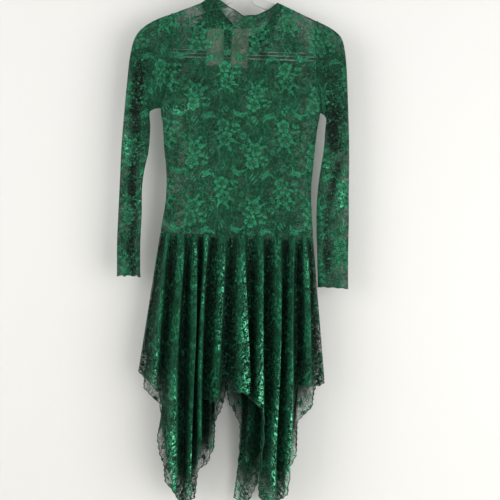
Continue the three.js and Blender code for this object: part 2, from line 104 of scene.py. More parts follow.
# Skirt folds, left to right: kind (1 ridge, -1 valley, 0 side), x at the waist seam, x at
# LOW_DROP, x at TIP_DROP, drop of the hem.
FOLDS = {
    BACK: np.array([
        (0, -156, -193, -193, 898), (-1, -150, -180, -180, 903), (1, -139, -160, -160, 927),
        (-1, -130, -140, -138, 938), (1, -109, -118, -116, 1140), (-1, -94, -93, -84, 1176),
        (1, -80, -81, -76, 1166), (-1, -70, -72, -68, 1112), (1, -58, -64, -60, 1063),
        (-1, -44, -51, -50, 948), (1, -25, -28, -5, 953), (-1, -8, -8, -8, 930),
        (1, 16, 32, 34, 932), (-1, 36, 40, 38, 938), (1, 52, 64, 68, 961), (-1, 72, 78, 76, 1150),
        (1, 92, 98, 98, 1178), (-1, 107, 110, 110, 1163), (1, 122, 121, 121, 1138),
        (-1, 134, 141, 141, 916), (1, 148, 160, 160, 914), (-1, 157, 184, 184, 918),
        (0, 165, 198, 198, 911),
    ]),
    FRONT: np.array([
        (0, -156, -193, -193, 898), (-1, -151, -181, -181, 903), (1, -145, -181, -183, 938),
        (-1, -130, -149, -149, 971), (1, -116, -131, -167, 1048), (-1, -104, -134, -142, 1090),
        (1, -92, -122, -127, 1144), (-1, -78, -101, -106, 1166), (1, -64, -88, -90, 1180),
        (-1, -52, -70, -72, 1165), (1, -40, -60, -64, 1113), (-1, -28, -46, -46, 1092),
        (1, -15, -28, -28, 1070), (-1, -7, -31, -31, 1000), (1, 0, -22, -22, 990),
        (-1, 5, -6, -6, 930), (1, 12, 3, -3, 972), (-1, 24, 24, 24, 1003), (1, 38, 42, 16, 1168),
        (-1, 52, 50, 42, 1180), (1, 67, 66, 62, 1132), (-1, 84, 82, 76, 1163),
        (1, 100, 101, 99, 1180), (-1, 113, 112, 112, 1166), (1, 124, 121, 121, 1158),
        (-1, 134, 128, 128, 1112), (1, 142, 128, 150, 1075), (-1, 150, 150, 150, 996),
        (1, 156, 171, 171, 970), (-1, 161, 186, 186, 918), (0, 165, 198, 198, 911),
    ]),
}
# How far the skirt stands out, and how much of that a fold takes: drop, depth, share.
FLARE = np.array([
    (608, 17.5, 0.34), (640, 21, 0.5), (700, 27, 0.56), (780, 32, 0.58), (901, 38, 0.55),
    (1060, 36, 0.52), (1180, 26, 0.45),
])

# Creases of a flat piece: x and drop of its two ends, width, height (below 0 is a trough).
CREASES = {
    ("bodice", BACK): [
        (-140, 250, -60, 300, 13, -1.6), (150, 262, 84, 312, 12, -1.5), (-152, 352, -70, 330, 9, 1.3),
        (160, 356, 96, 334, 10, 1.4), (-128, 470, -84, 486, 8, 1.0), (134, 486, 92, 500, 9, -1.0),
        (-60, 188, -36, 260, 14, 0.8), (60, 188, 44, 250, 12, -0.8), (-120, 560, -96, 606, 8, 1.0),
        (-40, 566, -30, 606, 8, -0.9), (44, 560, 36, 606, 9, 0.9), (126, 556, 112, 606, 9, -1.0),
    ],
    ("bodice", FRONT): [
        (-138, 246, -70, 318, 13, -1.7), (148, 250, 78, 306, 14, -1.4), (-150, 350, -80, 336, 9, 1.2),
        (158, 352, 90, 338, 10, 1.3), (-120, 478, -70, 492, 9, -1.1), (128, 470, 80, 488, 8, 1.0),
        (-50, 226, -30, 300, 12, 0.8), (52, 224, 34, 290, 13, 0.7), (-90, 560, -84, 606, 9, 1.0),
        (10, 562, 6, 606, 8, -0.9), (84, 560, 90, 606, 8, 1.0),
    ],
    ("sleeve", LEFT): [
        (-203, 250, -208, 430, 9, -2.8), (-208, 420, -208, 570, 9, -3.0),
        (-206, 560, -208, 705, 8, -2.6), (-176, 330, -200, 296, 7, 1.6),
        (-228, 300, -226, 470, 6, 1.3), (-190, 450, -190, 600, 5, 1.0),
    ],
    ("sleeve", RIGHT): [
        (200, 325, 209, 432, 14, -3.6), (226, 430, 198, 545, 8, -2.6), (198, 530, 206, 700, 8, -2.2),
        (182, 360, 214, 320, 7, 1.6), (230, 420, 232, 600, 6, 1.3), (184, 600, 190, 700, 5, 1.2),
        (178, 470, 220, 430, 7, 1.2),
    ],
}


# ---- sizes and colours that a user would change ------------------------------------------------

class DRESS_PG_cloth(bpy.types.PropertyGroup):
    """Drape and finish of the lace."""
    crease: FloatProperty(name="Crease", description="How strongly the cloth is creased", default=1.0)
    hem_wave: FloatProperty(name="Hem wave", description="Height of the rolled hem's waves",
                            default=2.4 * MM, unit="LENGTH")
    thread: FloatProperty(name="Thread", description="Radius of the serged edge",
                          default=0.85 * MM, unit="LENGTH")
    motif: FloatVectorProperty(name="Motif", description="Colour of flowers and leaves",
                               subtype="COLOR", default=(0.022, 0.215, 0.105))
    ground: FloatVectorProperty(name="Ground", description="Colour of the net between the motifs",
                                subtype="COLOR", default=(0.004, 0.047, 0.023))
    sheer: FloatProperty(name="Sheer", description="How much of the net covers what is behind it",
                         default=0.5, subtype="FACTOR", min=0.0, max=1.0)


class DRESS_PG_hanger(bpy.types.PropertyGroup):
    """Plastic hanger."""
    plastic: FloatVectorProperty(name="Plastic", description="Colour of the moulding",
                                 subtype="COLOR", default=(0.45, 0.465, 0.45))
    ribs: IntProperty(name="Ribs", description="Raised ribs along the lower bar", default=3)


class DRESS_PG_light(bpy.types.PropertyGroup):
    """Studio light, with its lamps in watts."""
    key: FloatProperty(name="Key", description="Large soft light from the right", default=40.0)
    fill: FloatProperty(name="Fill", description="Weak light from the left", default=22.0)
    rim: FloatProperty(name="Rim", description="Light on the side that faces the wall", default=24.0)
    sky: FloatProperty(name="Sky", description="Strength of the even surrounding light", default=0.72)


class DRESS_PG_settings(bpy.types.PropertyGroup):
    """All settings of the dress."""
    cloth: PointerProperty(type=DRESS_PG_cloth)
    hanger: PointerProperty(type=DRESS_PG_hanger)
    light: PointerProperty(type=DRESS_PG_light)


def settings():
    return bpy.context.scene.dance_dress


# ---- small tools ------------------------------------------------------------------------------

def lerp(a, b, t):
    """Value between a and b at the share t."""
    return a + (b - a) * t


def smooth(t):
    """Soft step from 0 to 1."""
    t = np.clip(t, 0.0, 1.0)
    return t * t * (3 - 2 * t)


def column(table, index, drop):
    """One column of a table whose first column is the drop, at each given drop."""
    return np.interp(drop, table[:, 0], table[:, index])


# Step between the five drops that smooth_column averages, and the power that flattens a tube.
CORNER_ROUNDING = 8.0
TUBE_FLATNESS = 6


def smooth_column(table, index, drop):
    """The same with the table's corners rounded off."""
    spread = CORNER_ROUNDING * np.arange(-2, 3)
    return sum(column(table, index, drop + d) for d in spread) / len(spread)


def flat_tube(u):
    """Half of a flat tube's thickness, as a share, at u from -1 to 1 across it."""
    return np.sqrt(np.clip(1 - np.abs(u) ** TUBE_FLATNESS, 0, 1))


def select_only(obj):
    bpy.ops.object.select_all(action="DESELECT")
    obj.select_set(True)
    bpy.context.view_layer.objects.active = obj


def mesh_piece(name, points, faces, uvs):
    """New object from points in millimetres, with one UV per face corner."""
    mesh = bpy.data.meshes.new(name)
    mesh.from_pydata((np.asarray(points) * MM).tolist(), [], faces)
    layer = mesh.uv_layers.new(name="lace")
    layer.data.foreach_set("uv", np.asarray(uvs, dtype=np.float32).ravel())
    mesh.polygons.foreach_set("use_smooth", [True] * len(mesh.polygons))
    mesh.update()
    obj = bpy.data.objects.new(name, mesh)
    bpy.context.collection.objects.link(obj)
    return obj


def grid_piece(name, grid, uv, outward, closed=False):
    """Sheet on a grid of points (rows, columns, 3). `outward` turns its faces, `uv` is in metres.
    A closed one joins its last column to its first, and its `uv` has one column more."""
    rows, columns = grid.shape[:2]
    faces, corners = [], []
    for i in range(rows - 1):
        for j in range(columns if closed else columns - 1):
            k = (j + 1) % columns
            loop = [(i, j, j), (i + 1, j, j), (i + 1, k, j + 1), (i, k, j + 1)]
            loop = loop[::outward]
            faces.append([r * columns + c for r, c, _ in loop])
            corners.extend(uv[r, c] for r, _, c in loop)
    return mesh_piece(name, grid.reshape(-1, 3), faces, corners)


def across_length(grid, closed=False):
    """Level length of cloth along each row of a grid, from its first column, in metres."""
    if closed:
        grid = np.concatenate([grid, grid[:, :1]], axis=1)
    steps = np.linalg.norm(np.diff(grid[..., :2], axis=1), axis=2)
    return np.concatenate([np.zeros((len(grid), 1)), np.cumsum(steps, axis=1)], axis=1) * MM


def lace_uv(across, grid):
    """UV in metres from a length across the cloth and the height of its points."""
    if across.shape[1] > grid.shape[1]:
        grid = np.concatenate([grid, grid[:, :1]], axis=1)
    return np.stack([across, grid[..., 2] * MM], axis=-1)


def tube(name, path, radius, sides=6, closed=False):
    """Round thread through a list of points in millimetres; a radius may be given per point."""
    path = np.asarray(path, dtype=float)
    count = len(path)
    radii = np.broadcast_to(np.asarray(radius, dtype=float), (count,))
    if closed:
        tangent = np.roll(path, -1, axis=0) - np.roll(path, 1, axis=0)
    else:
        tangent = np.gradient(path, axis=0)
    tangent /= np.linalg.norm(tangent, axis=1, keepdims=True) + 1e-9
    guide = np.where(np.abs(tangent[:, 1:2]) < 0.9, [[0.0, 1.0, 0.0]], [[1.0, 0.0, 0.0]])
    side = np.cross(tangent, guide)
    side /= np.linalg.norm(side, axis=1, keepdims=True) + 1e-9
    up = np.cross(side, tangent)
    angle = np.arange(sides)[None, :, None] * 2 * math.pi / sides
    rings = path[:, None, :] + radii[:, None, None] * (
        np.cos(angle) * side[:, None, :] + np.sin(angle) * up[:, None, :])
    steps = np.concatenate([[0], np.cumsum(np.linalg.norm(np.diff(path, axis=0), axis=1))]) * MM
    faces, uvs = [], []
    for i in range(count if closed else count - 1):
        n = (i + 1) % count
        far = steps[n] if n else steps[-1] + np.linalg.norm(path[0] - path[-1]) * MM
        for j in range(sides):
            k = (j + 1) % sides
            faces.append([i * sides + j, i * sides + k, n * sides + k, n * sides + j])
            low, high = j / sides, (j + 1) / sides
            uvs.extend([(steps[i], low), (steps[i], high), (far, high), (far, low)])
    if not closed:
        faces.append(list(range(sides))[::-1])
        uvs.extend([(0, 0)] * sides)
        faces.append([(count - 1) * sides + j for j in range(sides)])
        uvs.extend([(0, 0)] * sides)
    return mesh_piece(name, rings.reshape(-1, 3), faces, uvs)


def finish_piece(obj, surface, slot_name, *nodes):
    """Gives a piece its material, hangs it on the root body and hides the CAD nodes that it stands for.
    """
    obj.data.materials.append(surface)
    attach(obj, "root")
    if nodes:
        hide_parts(*nodes)
    return obj


# ---- the forms of the cloth -------------------------------------------------------------------

def body_x(s, drop):
    """Place across at the share s of the bodice's half width."""
    left = smooth_column(BODICE, 1, drop)
    right = smooth_column(BODICE, 2, drop)
    return (left + right) / 2 + s * (right - left) / 2


def top_drop(s, dip):
    """Drop of a bodice panel's top edge: the neck seam, then the shoulder seam."""
    q = (s - NECK_MIDDLE) / NECK_HALF
    neck = lerp(SHOULDER_DROP, dip, 1 - np.abs(np.clip(q, -1, 1)) ** NECK_BEND)
    neck_end = np.abs(NECK_MIDDLE + np.sign(q) * NECK_HALF)
    sleeve_top = np.where(q < 0, SLEEVE[LEFT][0][1], SLEEVE[RIGHT][0][1])
    shoulder = lerp(SHOULDER_DROP, sleeve_top, (np.abs(s) - neck_end) / (1 - neck_end))
    return np.where(np.abs(q) < 1, neck, shoulder)


def armhole_depth(side, v):
    """Half of the armhole's opening at the share v down a panel's side edge."""
    top, bottom, depth = SLEEVE[side][0][1], SLEEVE[side][0][3], SLEEVE[side][0][4]
    u = 1 - 2 * (lerp(top, WAIST_DROP, v) - top) / (bottom - top)
    return np.where(np.abs(u) < 1, depth * flat_tube(u), 0.0)


def body_points(s, v, face):
    """Points of a bodice panel at the shares s across and v down."""
    top = top_drop(s, NECK_DIP[face])
    drop = lerp(top, WAIST_DROP, v)
    edge = lerp(armhole_depth(LEFT, v), armhole_depth(RIGHT, v), (s + 1) / 2)
    q = (s - NECK_MIDDLE) / NECK_HALF
    neck_open = np.sqrt(np.clip(1 - q ** 8, 0, 1))
    round_off = 1 - np.clip((drop - top) / SHOULDER_ROUND, 0, 1)
    rise = np.sqrt(np.clip(1 - round_off ** 2 * (1 - neck_open ** 2), 0, 1))
    fill = smooth_column(BODICE, 3, drop)
    stand = (np.clip(NECK_STAND - fill, 0, None) * neck_open
             * (1 - np.clip((drop - top) / NECK_FADE, 0, 1)))
    depth = HALF_SEAM + edge + np.clip(fill * rise - edge, 0, None) * flat_tube(s) + stand
    return np.stack([body_x(s, drop), face * depth, -drop], axis=-1)


# A crease bows sideways, runs on past its ends and fades there, as shares of its length.
CREASE_BOW, CREASE_PAST, CREASE_FADE = 0.06, 0.12, 0.35


def crease_height(x, drop, creases):
    """Sum of soft ridges and troughs, each fading towards its two ends."""
    height = np.zeros_like(x)
    for x0, d0, x1, d1, width, rise in creases:
        run = np.array([x1 - x0, d1 - d0], dtype=float)
        length = np.linalg.norm(run)
        run /= length
        along = ((x - x0) * run[0] + (drop - d0) * run[1]) / length
        bow = CREASE_BOW * length * np.sin(np.pi * np.clip(along, 0, 1))
        across = (x - x0) * -run[1] + (drop - d0) * run[0] - bow
        ends = (smooth((along + CREASE_PAST) / CREASE_FADE)
                * smooth((1 + CREASE_PAST - along) / CREASE_FADE))
        height += rise * ends * np.exp(-(across / width) ** 2)
    return height


def slack(x, drop, seed):
    """Slow unevenness of hanging cloth, from a few crossed waves."""
    return (0.55 * np.sin(x / 31 + seed) * np.sin(drop / 47 + 2.1 * seed)
            + 0.35 * np.sin(x / 17 - drop / 71 + 1.3 * seed)
            + 0.2 * np.sin(x / 11 + drop / 29 + 0.7 * seed))


# Points of a bodice panel: across the neck, across each shoulder, near the top edge and below it.
NECK_POINTS, SHOULDER_POINTS = 61, 29
TOP_POINTS, LOWER_POINTS = 14, 92
TOP_SHARE = 0.05


def bodice_grid(face):
    """Bodice panel's points, and how far its creases lift them."""
    neck = NECK_MIDDLE + NECK_HALF * np.sin(np.linspace(-1, 1, NECK_POINTS) * math.pi / 2)
    inwards = np.sin(np.linspace(0, 1, SHOULDER_POINTS) * math.pi / 2) ** 1.2
    left = lerp(-1.0, NECK_MIDDLE - NECK_HALF, inwards)
    right = lerp(1.0, NECK_MIDDLE + NECK_HALF, inwards)
    across = np.unique(np.round(np.concatenate([left, neck, right]), 6))
    down = np.unique(np.round(np.concatenate([
        TOP_SHARE * np.linspace(0, 1, TOP_POINTS) ** 1.6,
        np.linspace(TOP_SHARE, 1.0, LOWER_POINTS)]), 6))
    s, v = np.meshgrid(across, down)
    grid = body_points(s, v, face)
    x, drop = grid[..., 0], -grid[..., 2]
    calm = smooth((1 - np.abs(s)) / 0.12) * smooth(v / 0.06) * smooth((1 - v) / 0.03)
    lift = crease_height(x, drop, CREASES["bodice", face]) + 0.8 * slack(x, drop, 1.0 + face)
    grid[..., 1] += face * calm * lift * settings().cloth.crease
    return grid, calm * lift


def station_curve(table, t):
    """Rows of a station table joined by a smooth curve, at t from 0 to its last row."""
    last = len(table) - 1
    i = np.clip(np.floor(t).astype(int), 0, last - 1)
    f = (t - i)[:, None]
    p0, p1 = table[np.clip(i - 1, 0, last)], table[i]
    p2, p3 = table[np.clip(i + 1, 0, last)], table[np.clip(i + 2, 0, last)]
    return 0.5 * (2 * p1 + (p2 - p0) * f + (2 * p0 - 5 * p1 + 4 * p2 - p3) * f ** 2
                  + (3 * p1 - p0 - 3 * p2 + p3) * f ** 3)


SLEEVE_ROUND, SLEEVE_ROWS = 44, 104
# How far the first stations follow the bodice's edge.
ARMHOLE_BEND = [1, 0.55, 0.2, 0]
# A sleeve is never flatter than this, and its far side is creased less than its near side.
SLEEVE_LEAST, FAR_PULL = 0.6, 0.7
# Waves round the cuff, and how ragged its edge is, as shares of the hem's waves.
CUFF_WAVES, CUFF_RAGGED = 13, {LEFT: 0.8, RIGHT: 0.35}


def sleeve_grid(side):
    """Rings of a sleeve from the armhole to the wrist; the first follows the bodice's edge."""
    table = SLEEVE[side]
    last = len(table) - 1
    close_rows = last - np.array([0.16, 0.1, 0.05])
    t = np.unique(np.concatenate([np.linspace(0, last, SLEEVE_ROWS), close_rows]))
    stations = station_curve(table, t)
    half = SLEEVE_ROUND // 2
    u = np.cos(np.linspace(0, 1, half + 1) * math.pi)
    u = np.sign(u) * np.abs(u) ** 0.55
    ring_u = np.concatenate([u, u[1:-1][::-1]])
    ring_face = np.concatenate([[BACK] * (half + 1), [FRONT] * (half - 1)])
    share = (ring_u[None, :] + 1) / 2
    outer_x, outer_drop, inner_x, inner_drop, depth = (stations[:, k][:, None] for k in range(5))
    x = lerp(inner_x, outer_x, share)
    drop = lerp(inner_drop, outer_drop, share)
    armhole_drop = lerp(table[0][3], table[0][1], share[0])
    bend = body_x(side, armhole_drop) - lerp(table[0][2], table[0][0], share[0])
    x = x + bend[None, :] * np.interp(t, range(len(ARMHOLE_BEND)), ARMHOLE_BEND)[:, None]
    y = ring_face * (HALF_SEAM * (np.abs(ring_u) < 1) + depth * flat_tube(ring_u)[None, :])
    calm = smooth((1 - np.abs(ring_u)) / 0.1)[None, :] * smooth(t / 1.2)[:, None]
    creases = crease_height(x, drop, CREASES["sleeve", side]) + 0.9 * slack(x, drop, 2.0 + side)
    pull = np.where(ring_face == BACK, 1.0, FAR_PULL)[None, :]
    y = y + ring_face * calm * creases * pull * settings().cloth.crease
    y = ring_face * np.maximum(ring_face * y, SLEEVE_LEAST) * (np.abs(ring_u) < 1)
    wave = settings().cloth.hem_wave / MM * smooth((t - last + 0.3) / 0.3)[:, None]
    phase = share * CUFF_WAVES * math.pi + (ring_face == FRONT) * 1.7
    y = y + wave * 0.8 * np.sin(phase)
    ragged = np.sin(phase * 0.5 + 0.6) + 0.7 * np.sin(phase * 1.3 + 2.0 * side)
    drop = drop + wave * CUFF_RAGGED[side] * ragged
    return np.stack(np.broadcast_arrays(x, y, -drop), axis=-1), calm * creases * pull


BAND_COLUMNS, BAND_ROWS = 57, 11
BAND_BULGE = 1.4


def band_grid():
    """Neck band as one ring, from the free edge down to the neck seam."""
    q = np.sin(np.linspace(-1, 1, BAND_COLUMNS) * math.pi / 2)
    rows = np.linspace(0, 1, BAND_ROWS)
    halves = []
    for face, shares in ((BACK, q), (FRONT, q[::-1][1:-1])):
        seam = body_points(NECK_MIDDLE + NECK_HALF * shares, np.zeros_like(shares), face)
        ends = [BAND_END[LEFT if value < 0 else RIGHT] for value in shares]
        end_x, end_drop, bend = (np.array([end[k] for end in ends]) for k in range(3))
        middle = (BAND_END[LEFT][0] + BAND_END[RIGHT][0]) / 2
        edge_drop = lerp(end_drop, BAND_DIP[face], 1 - np.abs(shares) ** bend)
        edge = np.stack([lerp(middle, end_x, np.abs(shares)), seam[:, 1], -edge_drop], axis=-1)
        strip = edge[None] + (seam - edge)[None] * rows[:, None, None]
        ripple = 1.1 * np.sin(shares * 9 + face) + 0.7 * np.sin(shares * 23 + 2 * face)
        bulge = np.sin(np.pi * rows)[:, None] * (BAND_BULGE + ripple * 0.6)
        strip[..., 1] += face * bulge * (1 - shares ** 4)
        unevenness = 0.9 * np.sin(shares * 15 + face) * (1 - shares ** 2)
        strip[..., 2] += (1 - rows)[:, None] * unevenness
        halves.append(strip)
    return np.concatenate(halves, axis=1)


# Points between two folds, rows of points, and levels at which the cloth's width is measured.
STEPS_PER_FOLD, SKIRT_ROWS, SKIRT_LEVELS = 22, 110, 90
# How far a fold leans over, as a share of its height.
FOLD_LEAN = 0.75
# Small puckers under the waist seam: height, and the drop over which they die out.
PUCKER, PUCKER_REACH = 1.5, 30.0
# Ruffles of the hem: length of a wave along the edge, and how far up they reach.
RUFFLE, RUFFLE_REACH = 13.0, 22.0
# Above this drop the folds press the lace's pattern together and don't slide it sideways.
GATHER_DROP = 840.0


def fold_columns(folds):
    """Fold table made finer, with a fold's own shape between a valley and a ridge."""
    i = np.arange(0, (len(folds) - 1) * STEPS_PER_FOLD + 1) / STEPS_PER_FOLD
    k = np.minimum(i.astype(int), len(folds) - 2)
    t = i - k
    a, b = folds[k], folds[k + 1]
    bow = (1 - np.cos(np.pi * t)) / 2
    weight = lerp(a[:, 0], b[:, 0], bow)
    seam, low, tip = (lerp(a[:, n], b[:, n], t) for n in (1, 2, 3))
    hem = lerp(a[:, 4], b[:, 4], lerp(t, bow, 0.35))
    return weight, seam, low, tip, hem


def skirt_x(seam, low, tip, drop):
    """Place across on the line from the waist seam by LOW_DROP to TIP_DROP."""
    upper = lerp(seam, low, (drop - WAIST_DROP) / (LOW_DROP - WAIST_DROP))
    lower = lerp(low, tip, (drop - LOW_DROP) / (TIP_DROP - LOW_DROP))
    return np.where(drop < LOW_DROP, upper, lower)


def skirt_place(face, drop):
    """Place of each fold column at given drops, without its hem."""
    weight, seam, low, tip, _ = fold_columns(FOLDS[face])
    x = skirt_x(seam, low, tip, drop)
    left = skirt_x(seam[0], low[0], tip[0], drop)
    right = skirt_x(seam[-1], low[-1], tip[-1], drop)
    s = np.clip(np.abs((2 * x - left - right) / (right - left)), 0, 1)
    inward = flat_tube(s)
    inward[:, [0, -1]] = 0
    share = smooth_column(FLARE, 2, drop)
    reach = smooth_column(FLARE, 1, drop)
    y = HALF_SEAM + reach * inward * (1 + share * weight[None, :])
    order = np.arange(len(weight))[None, :] / STEPS_PER_FOLD
    crease = settings().cloth.crease
    wander = smooth((drop - WAIST_DROP) / 60) * crease * inward
    y += wander * 1.6 * slack(x * 1.4, drop * 0.8, 3.0 + face)
    # A fold of the back leans to the right of its valley, one of the front leans outwards.
    lean = FOLD_LEAN * (0.8 + 0.3 * np.sin(order * 2.3 + face))
    if face == FRONT:
        lean = lean * np.tanh(4 * (order / order[0, -1] - 0.5))
    lean = lean * share * reach * inward * smooth((drop - WAIST_DROP) / 45)
    sway = 2.0 * np.sin(drop / 83 + order * 1.9 + face)
    x = x + lean * (0.55 * weight[None, :] - 0.05) + wander * sway
    puckers = np.exp(-(drop - WAIST_DROP) / PUCKER_REACH) * inward * PUCKER * crease
    y += puckers * np.sin(order * math.pi * 5.3 + 1.1 * np.sin(order * 2.7))
    return x, face * np.maximum(y, HALF_SEAM), inward


def skirt_grid(face):
    """Skirt panel from the waist seam to its handkerchief hem, and the level length across it."""
    hem = fold_columns(FOLDS[face])[4][None, :]
    share = np.linspace(0, 1, SKIRT_ROWS)[:, None] ** 1.15
    drop = lerp(WAIST_DROP + 0.3, hem, share)
    x, y, inward = skirt_place(face, drop)
    # The serged edge is stretched as it is sewn, and ruffles.
    edge_x = x[-1]
    run, fall = np.gradient(edge_x), np.gradient(hem[0])
    along = np.cumsum(np.hypot(run, fall))
    steep = np.abs(fall) / (np.hypot(run, fall) + 1e-9)
    turn = 2 * math.pi * along / RUFFLE + 1.3 * np.sin(along / 41 + face)
    near_hem = smooth((drop - hem + RUFFLE_REACH) / RUFFLE_REACH)
    wave = settings().cloth.hem_wave / MM * near_hem * smooth(inward / 0.4)
    y = y + face * wave * np.sin(turn)
    x = x + 0.55 * wave * steep * np.sin(turn + 1.1)
    drop = drop + 0.55 * wave * (1 - steep) * np.sin(turn + 0.7)
    grid = np.stack([x, y, -drop], axis=-1)

    levels = np.linspace(WAIST_DROP, hem.max(), SKIRT_LEVELS)
    level_x, level_y, _ = skirt_place(face, levels[:, None] * np.ones_like(hem))
    across = across_length(np.stack([level_x, level_y], axis=-1))
    middle = across.shape[1] // 2
    across += (level_x * MM - across)[:, middle:middle + 1]
    gathered = np.maximum(drop, GATHER_DROP)
    lengths = np.stack([np.interp(gathered[:, k], levels, across[:, k])
                        for k in range(drop.shape[1])], axis=1)
    return grid, lengths


# ---- materials --------------------------------------------------------------------------------

class Shader:
    """One material's nodes, with short calls for the maths that a pattern needs."""

    def __init__(self, name):
        self.material = bpy.data.materials.new(name)
        self.material.use_nodes = True
        self.tree = self.material.node_tree
        self.skin = self.tree.nodes["Principled BSDF"]

    def node(self, kind, **settings_of_node):
        node = self.tree.nodes.new(kind)
        for key, value in settings_of_node.items():
            setattr(node, key, value)
        return node

    def feed(self, socket, value):
        if isinstance(value, bpy.types.NodeSocket):
            self.tree.links.new(value, socket)
        elif value is not None:
            socket.default_value = value

    def math(self, operation, a, b=None, c=None, clamp=False):
        node = self.node("ShaderNodeMath", operation=operation, use_clamp=clamp)
        for socket, value in zip(node.inputs, (a, b, c)):
            self.feed(socket, value)
        return node.outputs[0]

    def add(self, a, b):
        return self.math("ADD", a, b)

    def sub(self, a, b):
        return self.math("SUBTRACT", a, b)

    def times(self, a, b):
        return self.math("MULTIPLY", a, b)

    def most(self, *values):
        result = values[0]
        for value in values[1:]:
            result = self.math("MAXIMUM", result, value)
        return result

    def step(self, value, low, high, to_low=0.0, to_high=1.0):
        """Soft step of a value from low to high."""
        node = self.node("ShaderNodeMapRange", interpolation_type="SMOOTHSTEP")
        for socket, given in zip(node.inputs, (value, low, high, to_low, to_high)):
            self.feed(socket, given)
        return node.outputs[0]

    def mix_color(self, factor, a, b):
        """Mix of two colours, each a socket or three channels."""
        node = self.node("ShaderNodeMix", data_type="RGBA")
        self.feed(node.inputs[0], factor)
        for socket, value in ((node.inputs[6], a), (node.inputs[7], b)):
            self.feed(socket, value if isinstance(value, bpy.types.NodeSocket) else (*value, 1.0))
        return node.outputs[2]

    def place(self, vector, x, y, turn, size_x, size_y=None):
        """Coordinates in a motif's own frame, 1 at its size; returns the vector, x and y."""
        node = self.node("ShaderNodeMapping", vector_type="TEXTURE")
        self.feed(node.inputs["Vector"], vector)
        node.inputs["Location"].default_value = (x, y, 0)
        node.inputs["Rotation"].default_value = (0, 0, math.radians(turn))
        node.inputs["Scale"].default_value = (size_x, size_y or size_x, 1)
        split = self.node("ShaderNodeSeparateXYZ")
        self.feed(split.inputs[0], node.outputs[0])
        return node.outputs[0], split.outputs[0], split.outputs[1]

    def bump(self, height, distance, strength=1.0):
        node = self.node("ShaderNodeBump")
        node.inputs["Distance"].default_value = distance
        node.inputs["Strength"].default_value = strength
        self.feed(node.inputs["Height"], height)
        self.feed(self.skin.inputs["Normal"], node.outputs[0])


# The lace's repeat in millimetres: columns of flower sprays, each second one upside down.
COLUMN, REPEAT, SHIFT = 62.8, 120.5, 52.0
COLUMN_AT, REPEAT_AT = -25.6, -392.0
# The pattern is bent a little by slow waves: their frequency, and how far they reach.
BENDS = [(0.055, 5.5), (0.30, 2.2)]
NET_PITCH = 1.5
# Painted glints on the motifs: size of their cells in millimetres, and the colour painted there.
GLINT_SIZE, GLINT = 1.9, (0.095, 0.35, 0.21)

# One repeat, in millimetres and degrees. Flowers: x, y, radius, petals, turn, heart, tone.
FLOWERS = [
    (1.0, 16.0, 17.0, 6, 12.0, 0.42, 0.9), (-5.0, -13.0, 15.0, 5, 50.0, 0.16, 1.0),
    (-25.0, 42.0, 6.5, 5, 0.0, 0.2, 0.8),
]
# Leaves: x, y, turn, length, width, tone.
LEAVES = [
    (15.5, -1.0, 12.0, 8.5, 3.6, 1.0), (17.5, -14.0, 70.0, 6.0, 3.6, 0.95),
    (27.0, -4.0, -8.0, 5.5, 3.4, 1.0), (25.5, -15.0, 35.0, 6.0, 3.0, 0.9),
    (-17.5, 2.0, 155.0, 7.5, 3.2, 0.85), (10.0, 36.0, 62.0, 8.0, 3.4, 0.9),
    (-12.0, 33.0, 128.0, 8.0, 3.2, 0.8), (20.0, 22.0, 20.0, 7.5, 3.2, 0.9),
]
# Curled leaves: x, y, turn of the middle, radius, half opening in radians, width, ribs, tone.
SCROLLS = [
    (-31.0, -16.0, -100.0, 16.5, 1.45, 0.24, 8.0, 1.0), (31.8, -53.0, 100.0, 16.5, 1.45, 0.24, 8.0, 1.0),
    (-31.0, -16.0, -118.0, 22.5, 1.0, 0.055, 0.0, 0.9), (31.8, -53.0, 118.0, 22.5, 1.0, 0.055, 0.0, 0.9),
    (40.0, -53.0, 128.0, 23.0, 0.72, 0.24, 26.0, 0.95), (-2.0, 52.0, 75.0, 12.0, 0.9, 0.2, 12.0, 0.8),
]
# Ladders of short slanted bars: x, y, turn, length, width.
LADDERS = [(-3.0, -45.0, -52.0, 11.0, 6.5), (-24.0, 20.0, 55.0, 9.0, 5.0)]
# Stalks: wave length, sway, phase, x, thickness.
STEMS = [(9.0, 3.2, 2.2, -14.0, 1.0), (12.0, 4.0, 1.0, 22.0, 1.0)]


def polar(sh, vector, x, y, turn, radius):
    """Distance from a motif's middle, 1 at its radius, and the direction."""
    local, px, py = sh.place(vector, x, y, turn, radius)
    length = sh.node("ShaderNodeVectorMath", operation="LENGTH")
    sh.feed(length.inputs[0], local)
    return length.outputs["Value"], sh.math("ARCTAN2", py, px)


def petal_flower(sh, vector, x, y, radius, petals, turn, heart, tone):
    """Open flower whose lobed petals grow brighter towards their rims."""
    r, angle = polar(sh, vector, x, y, turn, radius)
    lobes = sh.math("ABSOLUTE", sh.math("COSINE", sh.times(angle, petals / 2)))
    outline = sh.add(0.62, sh.times(0.38, sh.math("SQRT", lobes)))
    body = sh.step(sh.sub(outline, r), 0.0, 0.10)
    rim = sh.step(sh.math("DIVIDE", r, outline), 0.3, 0.95, 0.40, tone)
    gap = sh.step(lobes, 0.02, 0.42, 0.22, 1.0)
    outer = sh.times(rim, gap)
    twist = sh.math("SINE", sh.math("MULTIPLY_ADD", angle, 3.0, sh.times(r, 9.0)))
    inner = sh.math("MULTIPLY_ADD", twist, 0.28, 0.34)
    blend = sh.step(r, heart - 0.03, heart + 0.08)
    return sh.times(body, sh.add(sh.times(outer, blend), sh.times(inner, sh.sub(1.0, blend))))


def leaf(sh, vector, x, y, turn, length, width, tone):
    """Pointed leaf with a midrib."""
    _, px, py = sh.place(vector, x, y, turn, length, width)
    side = sh.math("ABSOLUTE", py)
    body = sh.step(sh.sub(sh.sub(1.0, sh.times(px, px)), side), 0.0, 0.3)
    return sh.times(sh.times(body, tone), sh.step(side, 0.03, 0.2, 0.5, 1.0))


